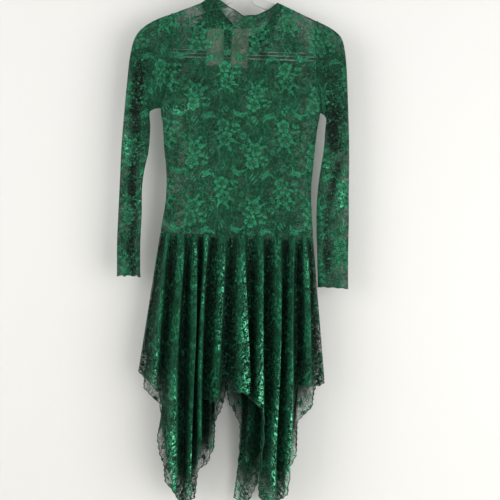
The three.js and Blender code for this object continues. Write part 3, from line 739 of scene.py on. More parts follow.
def ribbed_scroll(sh, vector, x, y, turn, radius, opening, width, ribs, tone):
    """Curled leaf along an arc, widest in its middle, with ribs across it."""
    r, angle = polar(sh, vector, x, y, turn, radius)
    along = sh.math("DIVIDE", angle, opening)
    band = sh.times(width, sh.sub(1.0, sh.times(along, along)))
    off = sh.math("ABSOLUTE", sh.sub(r, 1.0))
    body = sh.step(sh.sub(band, off), 0.0, width * 0.35)
    if not ribs:
        return sh.times(body, tone)
    stripes = sh.math("SINE", sh.math("MULTIPLY_ADD", angle, ribs, sh.times(r, 14.0)))
    return sh.times(body, sh.math("MULTIPLY_ADD", stripes, 0.26 * tone, 0.74 * tone))


def ladder(sh, vector, x, y, turn, length, width):
    """Short slanted bars one above the other."""
    _, px, py = sh.place(vector, x, y, turn, length, width)
    body = sh.times(sh.step(sh.math("ABSOLUTE", px), 0.75, 1.0, 1.0, 0.0),
                    sh.step(sh.math("ABSOLUTE", py), 0.75, 1.0, 1.0, 0.0))
    bars = sh.math("SINE", sh.math("MULTIPLY_ADD", px, 11.0, sh.times(py, 2.2)))
    return sh.times(body, sh.step(bars, -0.1, 0.7, 0.0, 0.9))


def stem(sh, a, b, wave, sway, phase, middle, thickness):
    """Thin stalk that sways along the cloth's length."""
    bend = sh.times(sh.math("SINE", sh.math("MULTIPLY_ADD", b, 1 / wave, phase)), sway)
    off = sh.math("ABSOLUTE", sh.sub(sh.sub(a, middle), bend))
    return sh.step(off, thickness * 0.4, thickness, 0.6, 0.0)


def tinted(color, share):
    """Darker or lighter shade of a colour."""
    return tuple(share * channel for channel in color)


def noise(sh, vector, scale, detail=1.0, output="Fac"):
    """Flat noise, whose scale is given per millimetre."""
    node = sh.node("ShaderNodeTexNoise", noise_dimensions="2D")
    node.inputs["Scale"].default_value = scale
    node.inputs["Detail"].default_value = detail
    sh.feed(node.inputs["Vector"], vector)
    return node.outputs[output]


def lace_coordinates(sh):
    """Plain place on the cloth and place in the repeat, in millimetres."""
    uv = sh.node("ShaderNodeUVMap", uv_map="lace")
    plain = sh.node("ShaderNodeVectorMath", operation="SCALE")
    sh.feed(plain.inputs[0], uv.outputs[0])
    plain.inputs["Scale"].default_value = 1000.0
    place = plain.outputs[0]
    for scale, reach in BENDS:
        bend = sh.node("ShaderNodeVectorMath", operation="MULTIPLY_ADD")
        sh.feed(bend.inputs[0], noise(sh, plain.outputs[0], scale, 0.0, "Color"))
        bend.inputs[1].default_value = (reach, reach, 0.0)
        sh.feed(bend.inputs[2], place)
        place = bend.outputs[0]
    split = sh.node("ShaderNodeSeparateXYZ")
    sh.feed(split.inputs[0], place)
    middle = sum(reach for _, reach in BENDS) / 2
    u = sh.sub(split.outputs[0], COLUMN_AT + middle)
    v = sh.sub(split.outputs[1], REPEAT_AT + middle)
    index = sh.math("ROUND", sh.math("DIVIDE", u, COLUMN))
    odd = sh.math("FLOORED_MODULO", index, 2.0)
    across = sh.sub(u, sh.times(index, COLUMN))
    down = sh.math("MULTIPLY_ADD", odd, SHIFT, v)
    row = sh.math("ROUND", sh.math("DIVIDE", down, REPEAT))
    along = sh.times(sh.sub(down, sh.times(row, REPEAT)), sh.math("MULTIPLY_ADD", odd, 2.0, -1.0))
    joined = sh.node("ShaderNodeCombineXYZ")
    sh.feed(joined.inputs[0], across)
    sh.feed(joined.inputs[1], along)
    return plain.outputs[0], across, along, joined.outputs[0]


def lace_figure(sh, plain, across, along, vector):
    """Height of the lace's pattern: 0 in the net, about 1 on flowers and leaves."""
    motif = sh.most(
        *(petal_flower(sh, vector, *row) for row in FLOWERS),
        *(leaf(sh, vector, *row) for row in LEAVES),
        *(ribbed_scroll(sh, vector, *row) for row in SCROLLS),
        *(ladder(sh, vector, *row) for row in LADDERS),
        *(stem(sh, across, along, *row) for row in STEMS))
    # Thin threads that join the motifs.
    cells = sh.node("ShaderNodeTexVoronoi", voronoi_dimensions="2D", feature="DISTANCE_TO_EDGE")
    cells.inputs["Scale"].default_value = 0.12
    sh.feed(cells.inputs["Vector"], vector)
    veins = sh.step(cells.outputs["Distance"], 0.03, 0.11, 0.5, 0.0)
    grain = noise(sh, plain, 0.42, 2.0)
    # Curled outlines of small leaves between them.
    curls = sh.math("SINE", sh.times(noise(sh, plain, 0.085, 2.0), 74.0))
    curls = sh.times(sh.step(curls, 0.45, 0.97, 0.0, 0.85),
                     sh.step(noise(sh, plain, 0.12, 0.0), 0.40, 0.56))
    figure = sh.most(motif, curls, sh.times(veins, sh.step(grain, 0.35, 0.6)))
    return sh.times(figure, sh.step(grain, 0.30, 0.68, 0.38, 1.25))


def lace_net(sh, plain):
    """Threads of the net, crossed on the slant."""
    split = sh.node("ShaderNodeSeparateXYZ")
    sh.feed(split.inputs[0], plain)
    u, v = split.outputs[0], split.outputs[1]
    turn = math.pi / NET_PITCH
    rising = sh.math("ABSOLUTE", sh.math("SINE", sh.times(sh.add(u, v), turn)))
    falling = sh.math("ABSOLUTE", sh.math("SINE", sh.times(sh.sub(u, v), turn)))
    return sh.step(sh.math("MINIMUM", rising, falling), 0.10, 0.28, 1.0, 0.0)


def lace_alpha(sh, figure, net, dense, sheer):
    """How much of what is behind the lace it hides; the attribute `layers` opens or closes it."""
    cover = sh.math("MULTIPLY_ADD", dense, 0.42, sheer - 0.28)
    layers = sh.node("ShaderNodeAttribute", attribute_name="layers").outputs["Fac"]
    opened = sh.times(cover, sh.add(1.0, sh.math("MINIMUM", layers, 0.0)))
    cover = sh.math("MULTIPLY_ADD", sh.math("MAXIMUM", layers, 0.0), sh.sub(0.98, cover), opened)
    net_alpha = sh.math("MULTIPLY_ADD", net, sh.sub(0.97, cover), cover, clamp=True)
    solid = sh.step(figure, 0.10, 0.34)
    return sh.add(sh.times(solid, 0.985), sh.times(sh.sub(1.0, solid), net_alpha))


def lace_color(sh, plain, figure, shade):
    """Colour of the lace with painted glints, painted shade in hollows and painted highlight on ridges.
    """
    # Painted glints: random cells of the motifs take the pale glint colour.
    glint = sh.node("ShaderNodeTexWhiteNoise", noise_dimensions="2D")
    grid = sh.node("ShaderNodeVectorMath", operation="SNAP")
    sh.feed(grid.inputs[0], plain)
    grid.inputs[1].default_value = (GLINT_SIZE, GLINT_SIZE, GLINT_SIZE)
    sh.feed(glint.inputs["Vector"], grid.outputs[0])
    # Painted shade and highlight: hollows are painted darker and ridges lighter, with ragged edges.
    fold = sh.node("ShaderNodeAttribute", attribute_name="depth").outputs["Fac"]
    torn = sh.times(sh.sub(noise(sh, plain, 0.17, 3.0), 0.5), sh.math("ABSOLUTE", fold))
    depth = sh.math("MULTIPLY_ADD", torn, 2.6, fold)
    lit = sh.times(sh.step(glint.outputs["Value"], 0.86, 0.96), sh.step(figure, 0.15, 0.5))
    # Painted highlight on the motifs along the ridges.
    painted_ridge_highlight = sh.times(sh.step(depth, 0.3, 1.0, 0.0, 0.8), sh.step(figure, 0.12, 0.55, 0.06, 1.0))
    lit = sh.most(sh.times(lit, sh.step(depth, -0.3, 0.7, 0.25, 0.8)), painted_ridge_highlight)
    shade = sh.mix_color(lit, shade, GLINT)
    # Painted shade and highlight: the colour is scaled down in hollows and up on ridges.
    tone = sh.math("MAXIMUM", sh.math("MULTIPLY_ADD", depth, 0.85, 1.0), 0.12)
    # Painted sparkle: folded cloth's motifs are painted lighter or darker in turn, and its net darker.
    folded = sh.step(sh.math("ABSOLUTE", fold), 0.15, 0.6)
    painted_sparkle = sh.times(sh.step(noise(sh, plain, 0.19, 1.0), 0.36, 0.64, 0.28, 1.75),
                     sh.step(figure, 0.12, 0.45, 0.5, 1.05))
    tone = sh.times(tone, sh.math("MULTIPLY_ADD", folded, sh.sub(painted_sparkle, 1.0), 1.0))
    scaled = sh.node("ShaderNodeVectorMath", operation="SCALE")
    sh.feed(scaled.inputs[0], shade)
    sh.feed(scaled.inputs["Scale"], tone)
    return scaled.outputs[0]


def lace_material():
    """Floral stretch lace: raised shiny motifs on a sheer net."""
    cloth = settings().cloth
    sh = Shader("floral_lace")
    plain, across, along, vector = lace_coordinates(sh)
    figure = lace_figure(sh, plain, across, along, vector)
    net = lace_net(sh, plain)
    dense = sh.step(noise(sh, plain, 0.05, 2.0), 0.455, 0.575)
    ground = sh.mix_color(dense, tinted(cloth.ground, 1.25), tinted(cloth.ground, 0.8))
    shade = sh.mix_color(sh.step(figure, 0.10, 1.0), ground, cloth.motif)
    sh.feed(sh.skin.inputs["Base Color"], lace_color(sh, plain, figure, shade))
    sh.feed(sh.skin.inputs["Alpha"], lace_alpha(sh, figure, net, dense, cloth.sheer))
    sh.feed(sh.skin.inputs["Roughness"], sh.step(figure, 0.1, 0.9, 0.62, 0.38))
    sh.skin.inputs["Sheen Weight"].default_value = 0.05
    sh.skin.inputs["Sheen Roughness"].default_value = 0.4
    sh.skin.inputs["Sheen Tint"].default_value = (0.25, 0.8, 0.55, 1.0)
    sh.skin.inputs["Specular IOR Level"].default_value = 0.16
    sh.bump(sh.add(figure, sh.times(net, 0.2)), 0.6 * MM, 0.9)
    return sh.material


# Lengths in metres of a turn of thread, an overlock loop, and the label's threads both ways.
THREAD_TURN, OVERLOCK_LOOP = 0.0011, 0.0026
LABEL_WEFT, LABEL_WARP = 0.0009, 0.0006
LABEL_DARK, LABEL_PALE = (0.20, 0.20, 0.165), (0.26, 0.26, 0.215)


def thread_material():
    """Overlock thread wound round an edge."""
    cloth = settings().cloth
    sh = Shader("serging_thread")
    uv = sh.node("ShaderNodeUVMap", uv_map="lace")
    split = sh.node("ShaderNodeSeparateXYZ")
    sh.feed(split.inputs[0], uv.outputs[0])
    turns = sh.add(sh.times(split.outputs[0], 1 / THREAD_TURN), split.outputs[1])
    wound = sh.math("SINE", sh.times(turns, 2 * math.pi))
    lit = sh.step(wound, -0.8, 0.9)
    sh.feed(sh.skin.inputs["Base Color"],
            sh.mix_color(lit, tinted(cloth.ground, 0.9), tinted(cloth.motif, 0.75)))
    sh.skin.inputs["Roughness"].default_value = 0.5
    sh.bump(wound, 0.25 * MM)
    return sh.material


def overlock_material():
    """Seam allowance: doubled lace under looped overlock thread."""
    cloth = settings().cloth
    sh = Shader("overlocked_seam")
    uv = sh.node("ShaderNodeUVMap", uv_map="lace")
    split = sh.node("ShaderNodeSeparateXYZ")
    sh.feed(split.inputs[0], uv.outputs[0])
    zigzag = sh.math("PINGPONG", sh.times(split.outputs[0], 1 / OVERLOCK_LOOP), 1.0)
    loops = sh.step(sh.math("ABSOLUTE", sh.sub(zigzag, split.outputs[1])), 0.10, 0.26, 1.0, 0.0)
    sh.feed(sh.skin.inputs["Base Color"],
            sh.mix_color(loops, tinted(cloth.ground, 0.7), tinted(cloth.motif, 0.35)))
    sh.feed(sh.skin.inputs["Alpha"], sh.step(loops, 0.0, 0.6, 0.45, 0.95))
    sh.skin.inputs["Roughness"].default_value = 0.6
    sh.bump(loops, 0.3 * MM)
    return sh.material


def label_material():
    """Plain woven satin tape with fine cross ribs."""
    sh = Shader("label_satin")
    uv = sh.node("ShaderNodeUVMap", uv_map="lace")
    split = sh.node("ShaderNodeSeparateXYZ")
    sh.feed(split.inputs[0], uv.outputs[0])
    weft = sh.math("SINE", sh.times(split.outputs[1], 2 * math.pi / LABEL_WEFT))
    warp = sh.math("SINE", sh.times(split.outputs[0], 2 * math.pi / LABEL_WARP))
    weave = sh.math("MULTIPLY_ADD", weft, 0.5, sh.times(warp, 0.3))
    sh.feed(sh.skin.inputs["Base Color"],
            sh.mix_color(sh.step(weave, -0.8, 0.8), LABEL_DARK, LABEL_PALE))
    sh.skin.inputs["Roughness"].default_value = 0.42
    sh.skin.inputs["Sheen Weight"].default_value = 0.3
    sh.bump(weave, 0.12 * MM)
    return sh.material


# Drop of the middle of the hanger's lower bar, in metres.
BAR_DROP = 0.2295


def plastic_material(name="hanger_plastic", bright=1.0, hollow=0.25):
    """Pale grey moulded plastic with a fine matt grain and faint scuffs, with painted shade in
    the hollow of the lower bar."""
    tint = tinted(settings().hanger.plastic, bright)
    sh = Shader(name)
    place = sh.node("ShaderNodeTexCoord")
    grain = sh.node("ShaderNodeTexNoise")
    grain.inputs["Scale"].default_value = 900.0
    grain.inputs["Detail"].default_value = 2.0
    scuff = sh.node("ShaderNodeTexNoise")
    scuff.inputs["Scale"].default_value = 38.0
    scuff.inputs["Detail"].default_value = 5.0
    for texture in (grain, scuff):
        sh.feed(texture.inputs["Vector"], place.outputs["Object"])
    worn = sh.step(scuff.outputs["Fac"], 0.45, 0.7)
    paint_color = sh.mix_color(worn, tint, tinted(tint, 0.88))
    # Painted shade: the hollow of the lower bar is painted darker, to the share `hollow` of the colour.
    split = sh.node("ShaderNodeSeparateXYZ")
    sh.feed(split.inputs[0], place.outputs["Object"])
    off = sh.math("ABSOLUTE", sh.add(split.outputs[2], BAR_DROP))
    inside = sh.step(off, 0.0105, 0.0125, 1.0, 0.0)
    sh.feed(sh.skin.inputs["Base Color"],
            sh.mix_color(inside, paint_color, tinted(tint, hollow)))
    sh.feed(sh.skin.inputs["Roughness"], sh.step(scuff.outputs["Fac"], 0.3, 0.75, 0.34, 0.52))
    sh.bump(grain.outputs["Fac"], 0.06 * MM)
    return sh.material


def rib_material():
    """The same plastic painted twice as bright, a painted highlight on the ribs of the lower bar,
    without the painted shade of its hollow.
    """
    return plastic_material("hanger_rib_plastic", 2.0, 1.0)


def plain_material(name, color, roughness=0.9):
    """Matt paint of the studio, seen from its front only."""
    sh = Shader(name)
    sh.skin.inputs["Base Color"].default_value = (*color, 1.0)
    sh.skin.inputs["Roughness"].default_value = roughness
    # From behind it isn't in the way, of the view or of the light.
    behind = sh.node("ShaderNodeNewGeometry").outputs["Backfacing"]
    shadow = sh.node("ShaderNodeLightPath").outputs["Is Shadow Ray"]
    sh.feed(sh.skin.inputs["Alpha"], sh.sub(1.0, sh.most(behind, shadow)))
    sh.skin.inputs["Specular IOR Level"].default_value = 0.1
    return sh.material


MAKERS = {
    "lace": lace_material, "thread": thread_material, "overlock": overlock_material,
    "label": label_material, "plastic": plastic_material, "rib": rib_material,
}
MADE = {}


def material(kind):
    """Each finish is made once and shared."""
    if kind not in MADE:
        MADE[kind] = MAKERS[kind]()
    return MADE[kind]


# ---- the pieces -------------------------------------------------------------------------------

class DressOperator:
    """Shared by all operators of the dress."""
    bl_options = {"REGISTER", "UNDO"}

    def execute(self, context):
        self.build()
        return {"FINISHED"}


def paint(obj, name, values):
    """Stores a value per point for the material: `layers` says how far cloth behind a point keeps
    it from being seen through, and below 0 how open its net is; `depth` goes from -1 in a hollow
    to 1 on a ridge, and by it the material paints shade into hollows and highlight onto ridges."""
    layer = obj.data.attributes.new(name, "FLOAT", "POINT")
    layer.data.foreach_set("value", np.ravel(values).astype(np.float32))


FRONT_PATTERN_SHIFT = 21 * MM


def panel_piece(name, grid, face, node, across=None):
    """Open panel of lace whose pattern is centred on its middle."""
    if across is None:
        across = across_length(grid)
        middle = grid.shape[1] // 2
        across += (grid[..., 0] * MM - across)[:, middle:middle + 1]
    # Seen through the back, the front's pattern runs the other way and lies elsewhere.
    if face == FRONT:
        across = FRONT_PATTERN_SHIFT - across
    obj = grid_piece(name, grid, lace_uv(across, grid), outward=-face)
    return finish_piece(obj, material("lace"), "lace", node)


# Places on the shoulders where the net is most open: left, right, top and bottom.
OPEN_SHOULDERS = [(-120, -88, 130, 176), (106, 150, 140, 200)]


def bodice_layers(grid):
    """The lace is laid out with its most open net on the shoulders and over the labels."""
    x, drop = grid[..., 0], -grid[..., 2]
    open_net = np.zeros_like(x)
    for left, right, top, bottom in (*LABELS.values(), *OPEN_SHOULDERS):
        middle, half = (left + right) / 2, (right - left) / 2
        centre, tall = (top + bottom) / 2, (bottom - top) / 2
        inside = smooth((1.15 - np.abs(x - middle) / half) / 0.25)
        open_net = np.maximum(open_net, inside * smooth((1.1 - np.abs(drop - centre) / tall) / 0.25))
    return -0.6 * open_net


class DRESS_OT_bodice(DressOperator, bpy.types.Operator):
    """Back and front of the bodice, from the neck seam to the waist seam"""
    bl_idname = "dance_dress.bodice"
    bl_label = "Bodice"

    def build(self):
        for face, side in ((BACK, "back"), (FRONT, "front")):
            grid, lift = bodice_grid(face)
            obj = panel_piece(f"bodice_{side}_lace", grid, face, f"bodice_{side}")
            # Painted shade in the creases' troughs and painted highlight on their ridges.
            paint(obj, "depth", np.clip(lift / 3.6, -1, 1))
            paint(obj, "layers", bodice_layers(grid))


class DRESS_OT_neck_band(DressOperator, bpy.types.Operator):
    """Doubled band round the neck, with its folded edge"""
    bl_idname = "dance_dress.neck_band"
    bl_label = "Neck band"

    def build(self):
        grid = band_grid()
        across = across_length(grid, closed=True)
        obj = grid_piece("neck_band_lace", grid, lace_uv(across, grid), outward=-1, closed=True)
        finish_piece(obj, material("lace"), "lace", "neck_band")
        near = np.arange(grid.shape[1])[None, :] < BAND_COLUMNS
        hole = np.exp(-((grid[..., 0] + 20) / 15) ** 2)
        paint(obj, "layers", np.where(near, 0.9 - 1.1 * hole, 0.95))
        # Painted shade: the whole band is painted darker, its far half more so.
        paint(obj, "depth", np.where(near, -0.3, -0.5) * np.ones(grid.shape[:2]))
        fold = tube("neck_fold", grid[0], 0.9, sides=6, closed=True)
        finish_piece(fold, material("lace"), "lace")


# Under the arm a sleeve's cloth lies doubled and is painted with shade: middle of the patch, and its
# reach squared.
UNDERARM_DROP, UNDERARM_REACH = 290.0, 9000.0
# From here outwards a sleeve is single and seen through: distance from the middle, and the fade.
RIM_AT, RIM_FADE = 222.0, 14.0
# How closed a sleeve's net is, and how much less so at its rim.
SLEEVE_COVER = {LEFT: (0.5, 0.3), RIGHT: (0.40, 0.95)}


class DRESS_OT_sleeves(DressOperator, bpy.types.Operator):
    """Long sleeves with a serged, wavy cuff"""
    bl_idname = "dance_dress.sleeves"
    bl_label = "Sleeves"

    def build(self):
        for side, word in ((LEFT, "left"), (RIGHT, "right")):
            grid, lift = sleeve_grid(side)
            across = grid[:, :1, 0] * MM - side * across_length(grid, closed=True)
            obj = grid_piece(f"sleeve_{word}_lace", grid, lace_uv(across, grid), outward=side,
                             closed=True)
            finish_piece(obj, material("lace"), "lace", f"sleeve_{word}")
            depth = np.clip(lift / 3.0, -0.85, 1)
            under = smooth(1.2 - (-grid[..., 2] - UNDERARM_DROP) ** 2 / UNDERARM_REACH)
            rim = smooth((np.abs(grid[..., 0]) - RIM_AT) / RIM_FADE)
            closed, opened = SLEEVE_COVER[side]
            hidden = np.maximum(-1.1 * depth, 0.9 * under * (1 - rim))
            paint(obj, "layers", np.maximum(closed - opened * rim, hidden))
            # Painted shade in the creases' troughs and under the arm, painted highlight on the creases'
            # ridges.
            paint(obj, "depth", depth - 0.25 * under)
            cuff = tube(f"cuff_{word}_thread", grid[-1], settings().cloth.thread / MM, sides=6,
                        closed=True)
            finish_piece(cuff, material("thread"), "lace")


# The skirt is seen through this near its hem, and in this share of its width at each side.
SHEER_HEM, SHEER_SIDE = 70.0, 0.10


def skirt_layers(grid):
    """Folds hide what is behind them, except along the hem and the two sides."""
    edge = np.linalg.norm(grid - grid[-1], axis=2)
    order = np.linspace(-1, 1, grid.shape[1])[None, :]
    return 1.8 * smooth(edge / SHEER_HEM - 0.1) * smooth((1 - np.abs(order)) / SHEER_SIDE) - 0.8


def skirt_depth(face, grid):
    """Painted shade in the folds' valleys and painted highlight on their ridges, softened at the
    waist seam and in the hem's free tips.
    """
    weight = fold_columns(FOLDS[face])[0][None, :]
    order = np.arange(grid.shape[1])[None, :] / STEPS_PER_FOLD
    drop = -grid[..., 2]
    fade = smooth((drop - WAIST_DROP + 14) / 40)
    ridge = smooth((weight + 0.1) / 1.0)
    uneven = 0.75 + 0.25 * np.sin(order * 2.7 + drop / 90 + 2 * face)
    low = smooth((drop - 880) / 120) * smooth((grid[..., 0] + 40) / 80)
    return np.clip(fade * (1.25 * uneven * ridge - 0.70 + 0.30 * low + 0.1 * weight), -0.9, 1)


class DRESS_OT_skirt(DressOperator, bpy.types.Operator):
    """Flared skirt with a serged handkerchief hem"""
    bl_idname = "dance_dress.skirt"
    bl_label = "Skirt"

    def build(self):
        for face, side in ((BACK, "back"), (FRONT, "front")):
            grid, across = skirt_grid(face)
            obj = panel_piece(f"skirt_{side}_lace", grid, face, f"skirt_{side}", across)
            paint(obj, "layers", skirt_layers(grid))
            # Painted shade in the folds' valleys and painted highlight on their ridges.
            paint(obj, "depth", skirt_depth(face, grid))
            hem = tube(f"hem_{side}_thread", grid[-1], settings().cloth.thread / MM, sides=6)
            finish_piece(hem, material("thread"), "lace")


# Width of a seam allowance, and how far inside the cloth it lies.
ALLOWANCE, SEAM_DEPTH = 6.5, 0.8


def seam_strip(name, top, bottom):
    """Overlocked seam allowance between two lists of points."""
    grid = np.stack([np.asarray(top, dtype=float), np.asarray(bottom, dtype=float)])
    steps = np.linalg.norm(np.diff(grid[0], axis=0), axis=1)
    across = np.concatenate([[0], np.cumsum(steps)]) * MM
    uv = np.stack([np.stack([across, np.ones_like(across)], axis=-1),
                   np.stack([across, np.zeros_like(across)], axis=-1)])
    obj = grid_piece(name, grid, uv, outward=1)
    return finish_piece(obj, material("overlock"), "lace")


class DRESS_OT_seams(DressOperator, bpy.types.Operator):
    """Overlocked seam allowances inside the waist, armholes and neck"""
    bl_idname = "dance_dress.seams"
    bl_label = "Seams"

    def build(self):
        for face, side in ((BACK, "back"), (FRONT, "front")):
            waist = bodice_grid(face)[0][-1][2:-2]
            inside = waist - [0, face * SEAM_DEPTH, 0]
            seam_strip(f"waist_seam_{side}", inside, inside - [0, 0, ALLOWANCE])
            q = np.sin(np.linspace(-1, 1, BAND_COLUMNS) * math.pi / 2)[3:-3]
            neck = body_points(NECK_MIDDLE + NECK_HALF * q, np.zeros_like(q), face)
            inside = neck - [0, face * SEAM_DEPTH, 0]
            seam_strip(f"neck_seam_{side}", inside, inside - [0, 0, ALLOWANCE])
        for side, word in ((LEFT, "left"), (RIGHT, "right")):
            ring = sleeve_grid(side)[0][1]
            half = SLEEVE_ROUND // 2
            for name, part in (("back", ring[1:half]), ("front", ring[half + 1:])):
                inside = part - [0, (BACK if name == "back" else FRONT) * 0.7, 0]
                seam_strip(f"armhole_{word}_{name}", inside, inside + [side * 0.9 * ALLOWANCE, 0, 0])


# Labels: left, right, top and bottom, in millimetres; their thickness, and how far inside they hang.
LABELS = {"label_care": (-71, -35, 178, 256), "label_size": (-19, 17, 175, 258)}
LABEL_THICKNESS, LABEL_INSIDE = 0.5, 1.2


class DRESS_OT_labels(DressOperator, bpy.types.Operator):
    """Two plain woven labels that hang from the neck seam inside the back"""
    bl_idname = "dance_dress.labels"
    bl_label = "Labels"

    def build(self):
        back = bodice_grid(BACK)[0]
        for number, (name, (left, right, top, bottom)) in enumerate(LABELS.items()):
            rows, columns = 27, 13
            drop, x = np.meshgrid(np.linspace(top, bottom, rows), np.linspace(left, right, columns),
                                  indexing="ij")
            share = (drop - top) / (bottom - top)
            x = x + 0.8 * np.sin(3 * share + number) * share
            y = label_depth(back, x, drop) + LABEL_INSIDE
            y += 1.4 * share * np.sin((x - left) / (right - left) * math.pi + 0.6 * number)
            grid = np.stack([x, y, -drop], axis=-1)
            uv = np.stack([x, -drop], axis=-1) * MM
            obj = grid_piece(f"{name}_tape", grid, uv, outward=1)
            wall = obj.modifiers.new("Wall", "SOLIDIFY")
            wall.thickness = LABEL_THICKNESS * MM
            wall.offset = 0
            select_only(obj)
            bpy.ops.object.modifier_apply(modifier=wall.name)
            finish_piece(obj, material("label"), "label", name)


def label_depth(grid, x, drop):
    """Depth of the back panel behind a place, from its nearest points."""
    flat = grid.reshape(-1, 3)
    near = (flat[:, 0] - x.reshape(-1, 1)) ** 2 + (flat[:, 2] + drop.reshape(-1, 1)) ** 2
    return flat[near.argmin(axis=1), 1].reshape(x.shape)


# Hanger: one side of its outer edge and of the gap inside it, mirrored about the middle.
HANGER_OUTER = [
    (0, -91), (19, -100), (50, -114), (76, -122), (88, -127), (139, -148.4), (154, -155.6),
    (172, -162), (190, -171.5), (203, -184), (210, -199), (209, -216), (199, -234),
]
HANGER_GAP = [
    (0, -106), (17, -110), (19, -121), (71, -141), (139, -169), (172, -184), (189, -197),
    (192, -210), (185, -220),
]
HANGER_THICKNESS, HANGER_EDGE = 5.5 * MM, 1.5 * MM
# Ribs along the lower bar: half of their length, the first one's drop and the step to the next,
# how far their middle lies from the hanger's, and their radius.
RIB_REACH, RIB_TOP, RIB_STEP = 176.0, 222.0, 7.4
RIB_LIFT, RIB_RADIUS = 2.55, 1.1
HOOK_WIRE, HOOK_RADIUS = 3.4, 24.0
SHANK_TOP, SHANK_BOTTOM = -70.0, -91.5
TIP_ANGLE = 200


# Share of each side that is cut off at a corner of the hanger's outline.
CORNER_CUT = 0.22


def mirrored(points):
    """Closed outline from one side of it."""
    return [*points, *((-x, z) for x, z in points[:0:-1])]


def softened(points):
    """Closed outline with its corners cut, so that straight sides meet in bends."""
    loop = []
    for k, here in enumerate(points):
        there = points[(k + 1) % len(points)]
        loop += [tuple(lerp(np.array(here), np.array(there), t)) for t in (CORNER_CUT, 1 - CORNER_CUT)]
    return loop


def hanger_moulding():
    """The hanger's flat body, with rounded edges."""
    curve = bpy.data.curves.new("hanger_outline", "CURVE")
    curve.dimensions = "2D"
    curve.fill_mode = "BOTH"
    for points in (softened(mirrored(HANGER_OUTER)), softened(mirrored(HANGER_GAP))):
        spline = curve.splines.new("POLY")
        spline.points.add(len(points) - 1)
        for point, (x, z) in zip(spline.points, points):
            point.co = (x * MM, z * MM, 0, 1)
        spline.use_cyclic_u = True
    curve.extrude = HANGER_THICKNESS / 2 - HANGER_EDGE
    curve.bevel_depth = HANGER_EDGE
    curve.bevel_resolution = 3
    curve.offset = -HANGER_EDGE
    obj = bpy.data.objects.new("hanger_moulding", curve)
    bpy.context.collection.objects.link(obj)
    select_only(obj)
    bpy.ops.object.convert(target="MESH")
    obj = bpy.context.object
    obj.rotation_euler = (math.pi / 2, 0, 0)
    bpy.ops.object.transform_apply(location=True, rotation=True, scale=True)
    bpy.ops.object.mode_set(mode="EDIT")
    bpy.ops.mesh.select_all(action="SELECT")
    bpy.ops.mesh.remove_doubles(threshold=0.00002)
    bpy.ops.mesh.normals_make_consistent(inside=False)
    bpy.ops.object.mode_set(mode="OBJECT")
    bpy.ops.object.shade_smooth_by_angle(angle=math.radians(35))
    finish_piece(obj, material("plastic"), "hanger_plastic", "hanger_body")


def hanger_ribs():
    """Raised ribs along both sides of the lower bar."""
    for face, side in ((BACK, "back"), (FRONT, "front")):
        for k in range(settings().hanger.ribs):
            height = -(RIB_TOP + k * RIB_STEP)
            path = [(x, face * RIB_LIFT, height) for x in np.linspace(-RIB_REACH, RIB_REACH, 25)]
            rib = tube(f"hanger_rib_{side}_{k + 1}", path, RIB_RADIUS)
            finish_piece(rib, material("rib"), "hanger_plastic")


def hanger_hook():
    """Round hook that ends in a blunt tip, and its shank."""
    centre = HOOK_WIRE - HOOK_RADIUS
    angles = np.radians(np.linspace(TIP_ANGLE, 0, 49))
    path = [(HOOK_RADIUS * math.cos(a), 0, centre + HOOK_RADIUS * math.sin(a)) for a in angles]
    bend = [(HOOK_RADIUS, centre), (HOOK_RADIUS * 0.8, centre - HOOK_RADIUS * 0.65),
            (HOOK_RADIUS * 0.25, centre - HOOK_RADIUS * 1.25), (0, SHANK_TOP)]
    table = np.array([path[-2][::2], *bend, (0, SHANK_BOTTOM)])
    curve_points = station_curve(table, np.linspace(1, len(table) - 1, 41)[1:])
    path += [(x, 0, z) for x, z in curve_points]
    radii = np.full(len(path), HOOK_WIRE)
    radii[:3] = HOOK_WIRE * np.array([0.55, 0.85, 0.97])
    hook = tube("hanger_hook_rod", path, radii, sides=20)
    finish_piece(hook, material("plastic"), "hanger_plastic", "hanger_hook")


class DRESS_OT_hanger(DressOperator, bpy.types.Operator):
    """Flat moulded hanger with a ribbed lower bar and a round hook"""
    bl_idname = "dance_dress.hanger"
    bl_label = "Hanger"

    def build(self):
        hanger_moulding()
        hanger_ribs()
        hanger_hook()


# ---- stage, camera and light ------------------------------------------------------------------

WALL_Y = 0.068
FLOOR_Z = -1.27
VIEW_CENTRE = (0.0336, -0.638)
VIEW_DISTANCE = 2.2
VIEW_WIDTH = 1.05
VIEW_ROLL = math.radians(1.8)
SENSOR = 36.0
ROOM_SIZE = 5.0
PAINT = (0.72, 0.715, 0.697)
# Lamps: place and size; each shines at the middle of the dress.
LAMPS = {"key": ((1.6, -1.9, -0.85), 2.0), "fill": ((-1.8, -1.9, -0.3), 1.6),
         "rim": ((-1.2, 2.4, -0.1), 1.6)}
LAMP_TARGET = Vector((0, 0, -0.6))


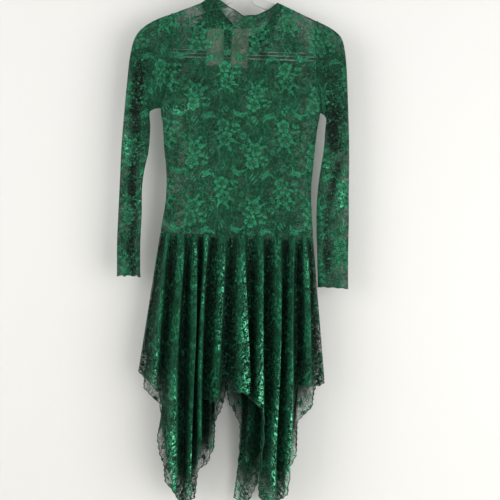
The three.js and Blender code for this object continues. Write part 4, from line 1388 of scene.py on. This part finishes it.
class DRESS_OT_stage(DressOperator, bpy.types.Operator):
    """Pale floor and wall, camera and soft light"""
    bl_idname = "dance_dress.stage"
    bl_label = "Stage"

    def build(self):
        scene = bpy.context.scene
        bpy.ops.object.select_all(action="DESELECT")
        for name, place, tilt in (("wall", (0, WALL_Y, FLOOR_Z + ROOM_SIZE / 2), math.pi / 2),
                                  ("floor", (0, WALL_Y - ROOM_SIZE / 2, FLOOR_Z), 0)):
            bpy.ops.mesh.primitive_plane_add(size=ROOM_SIZE, location=place, rotation=(tilt, 0, 0))
            obj = bpy.context.object
            obj.name = name
            obj.data.materials.append(plain_material(f"{name}_paint", PAINT))

        camera = bpy.data.cameras.new("camera")
        camera.sensor_width = SENSOR
        camera.lens = SENSOR * VIEW_DISTANCE / VIEW_WIDTH
        eye = bpy.data.objects.new("camera", camera)
        eye.location = (VIEW_CENTRE[0], -VIEW_DISTANCE, VIEW_CENTRE[1])
        eye.rotation_euler = (math.pi / 2, -VIEW_ROLL, 0)
        bpy.context.collection.objects.link(eye)
        scene.camera = eye

        light = settings().light
        for name, (place, size) in LAMPS.items():
            power = getattr(light, name)
            lamp = bpy.data.lights.new(name, "AREA")
            lamp.energy, lamp.size = power, size
            obj = bpy.data.objects.new(name, lamp)
            obj.location = place
            obj.rotation_euler = (LAMP_TARGET - Vector(place)).to_track_quat("-Z", "Y").to_euler()
            bpy.context.collection.objects.link(obj)

        world = scene.world or bpy.data.worlds.new("studio")
        scene.world = world
        world.use_nodes = True
        sky = world.node_tree.nodes["Background"]
        sky.inputs["Color"].default_value = (1.0, 0.995, 0.985, 1.0)
        sky.inputs["Strength"].default_value = light.sky
        scene.view_settings.view_transform = "Standard"
        scene.view_settings.gamma = 0.92


# ---- add-on -----------------------------------------------------------------------------------

OPERATORS = (
    DRESS_OT_stage, DRESS_OT_bodice, DRESS_OT_neck_band, DRESS_OT_sleeves, DRESS_OT_skirt,
    DRESS_OT_seams, DRESS_OT_labels, DRESS_OT_hanger,
)


class DRESS_PT_panel(bpy.types.Panel):
    """Lists the dress's operators and settings"""
    bl_label = "Dance Dress"
    bl_idname = "DRESS_PT_panel"
    bl_space_type = "VIEW_3D"
    bl_region_type = "UI"
    bl_category = "Dance Dress"

    def draw(self, context):
        for operator in OPERATORS:
            self.layout.operator(operator.bl_idname)
        for group_name in ("cloth", "hanger", "light"):
            group = getattr(settings(), group_name)
            box = self.layout.box()
            box.label(text=group_name.capitalize())
            for key in group.bl_rna.properties.keys():
                if key not in ("rna_type", "name"):
                    box.prop(group, key)


CLASSES = (
    DRESS_PG_cloth, DRESS_PG_hanger, DRESS_PG_light, DRESS_PG_settings, *OPERATORS, DRESS_PT_panel,
)


def register():
    for cls in CLASSES:
        bpy.utils.register_class(cls)
    bpy.types.Scene.dance_dress = PointerProperty(type=DRESS_PG_settings)


def unregister():
    del bpy.types.Scene.dance_dress
    for cls in reversed(CLASSES):
        bpy.utils.unregister_class(cls)


def main():
    register()
    for operator in OPERATORS:
        group, name = operator.bl_idname.split(".")
        getattr(getattr(bpy.ops, group), name)()


if __name__ == "__main__":
    main()
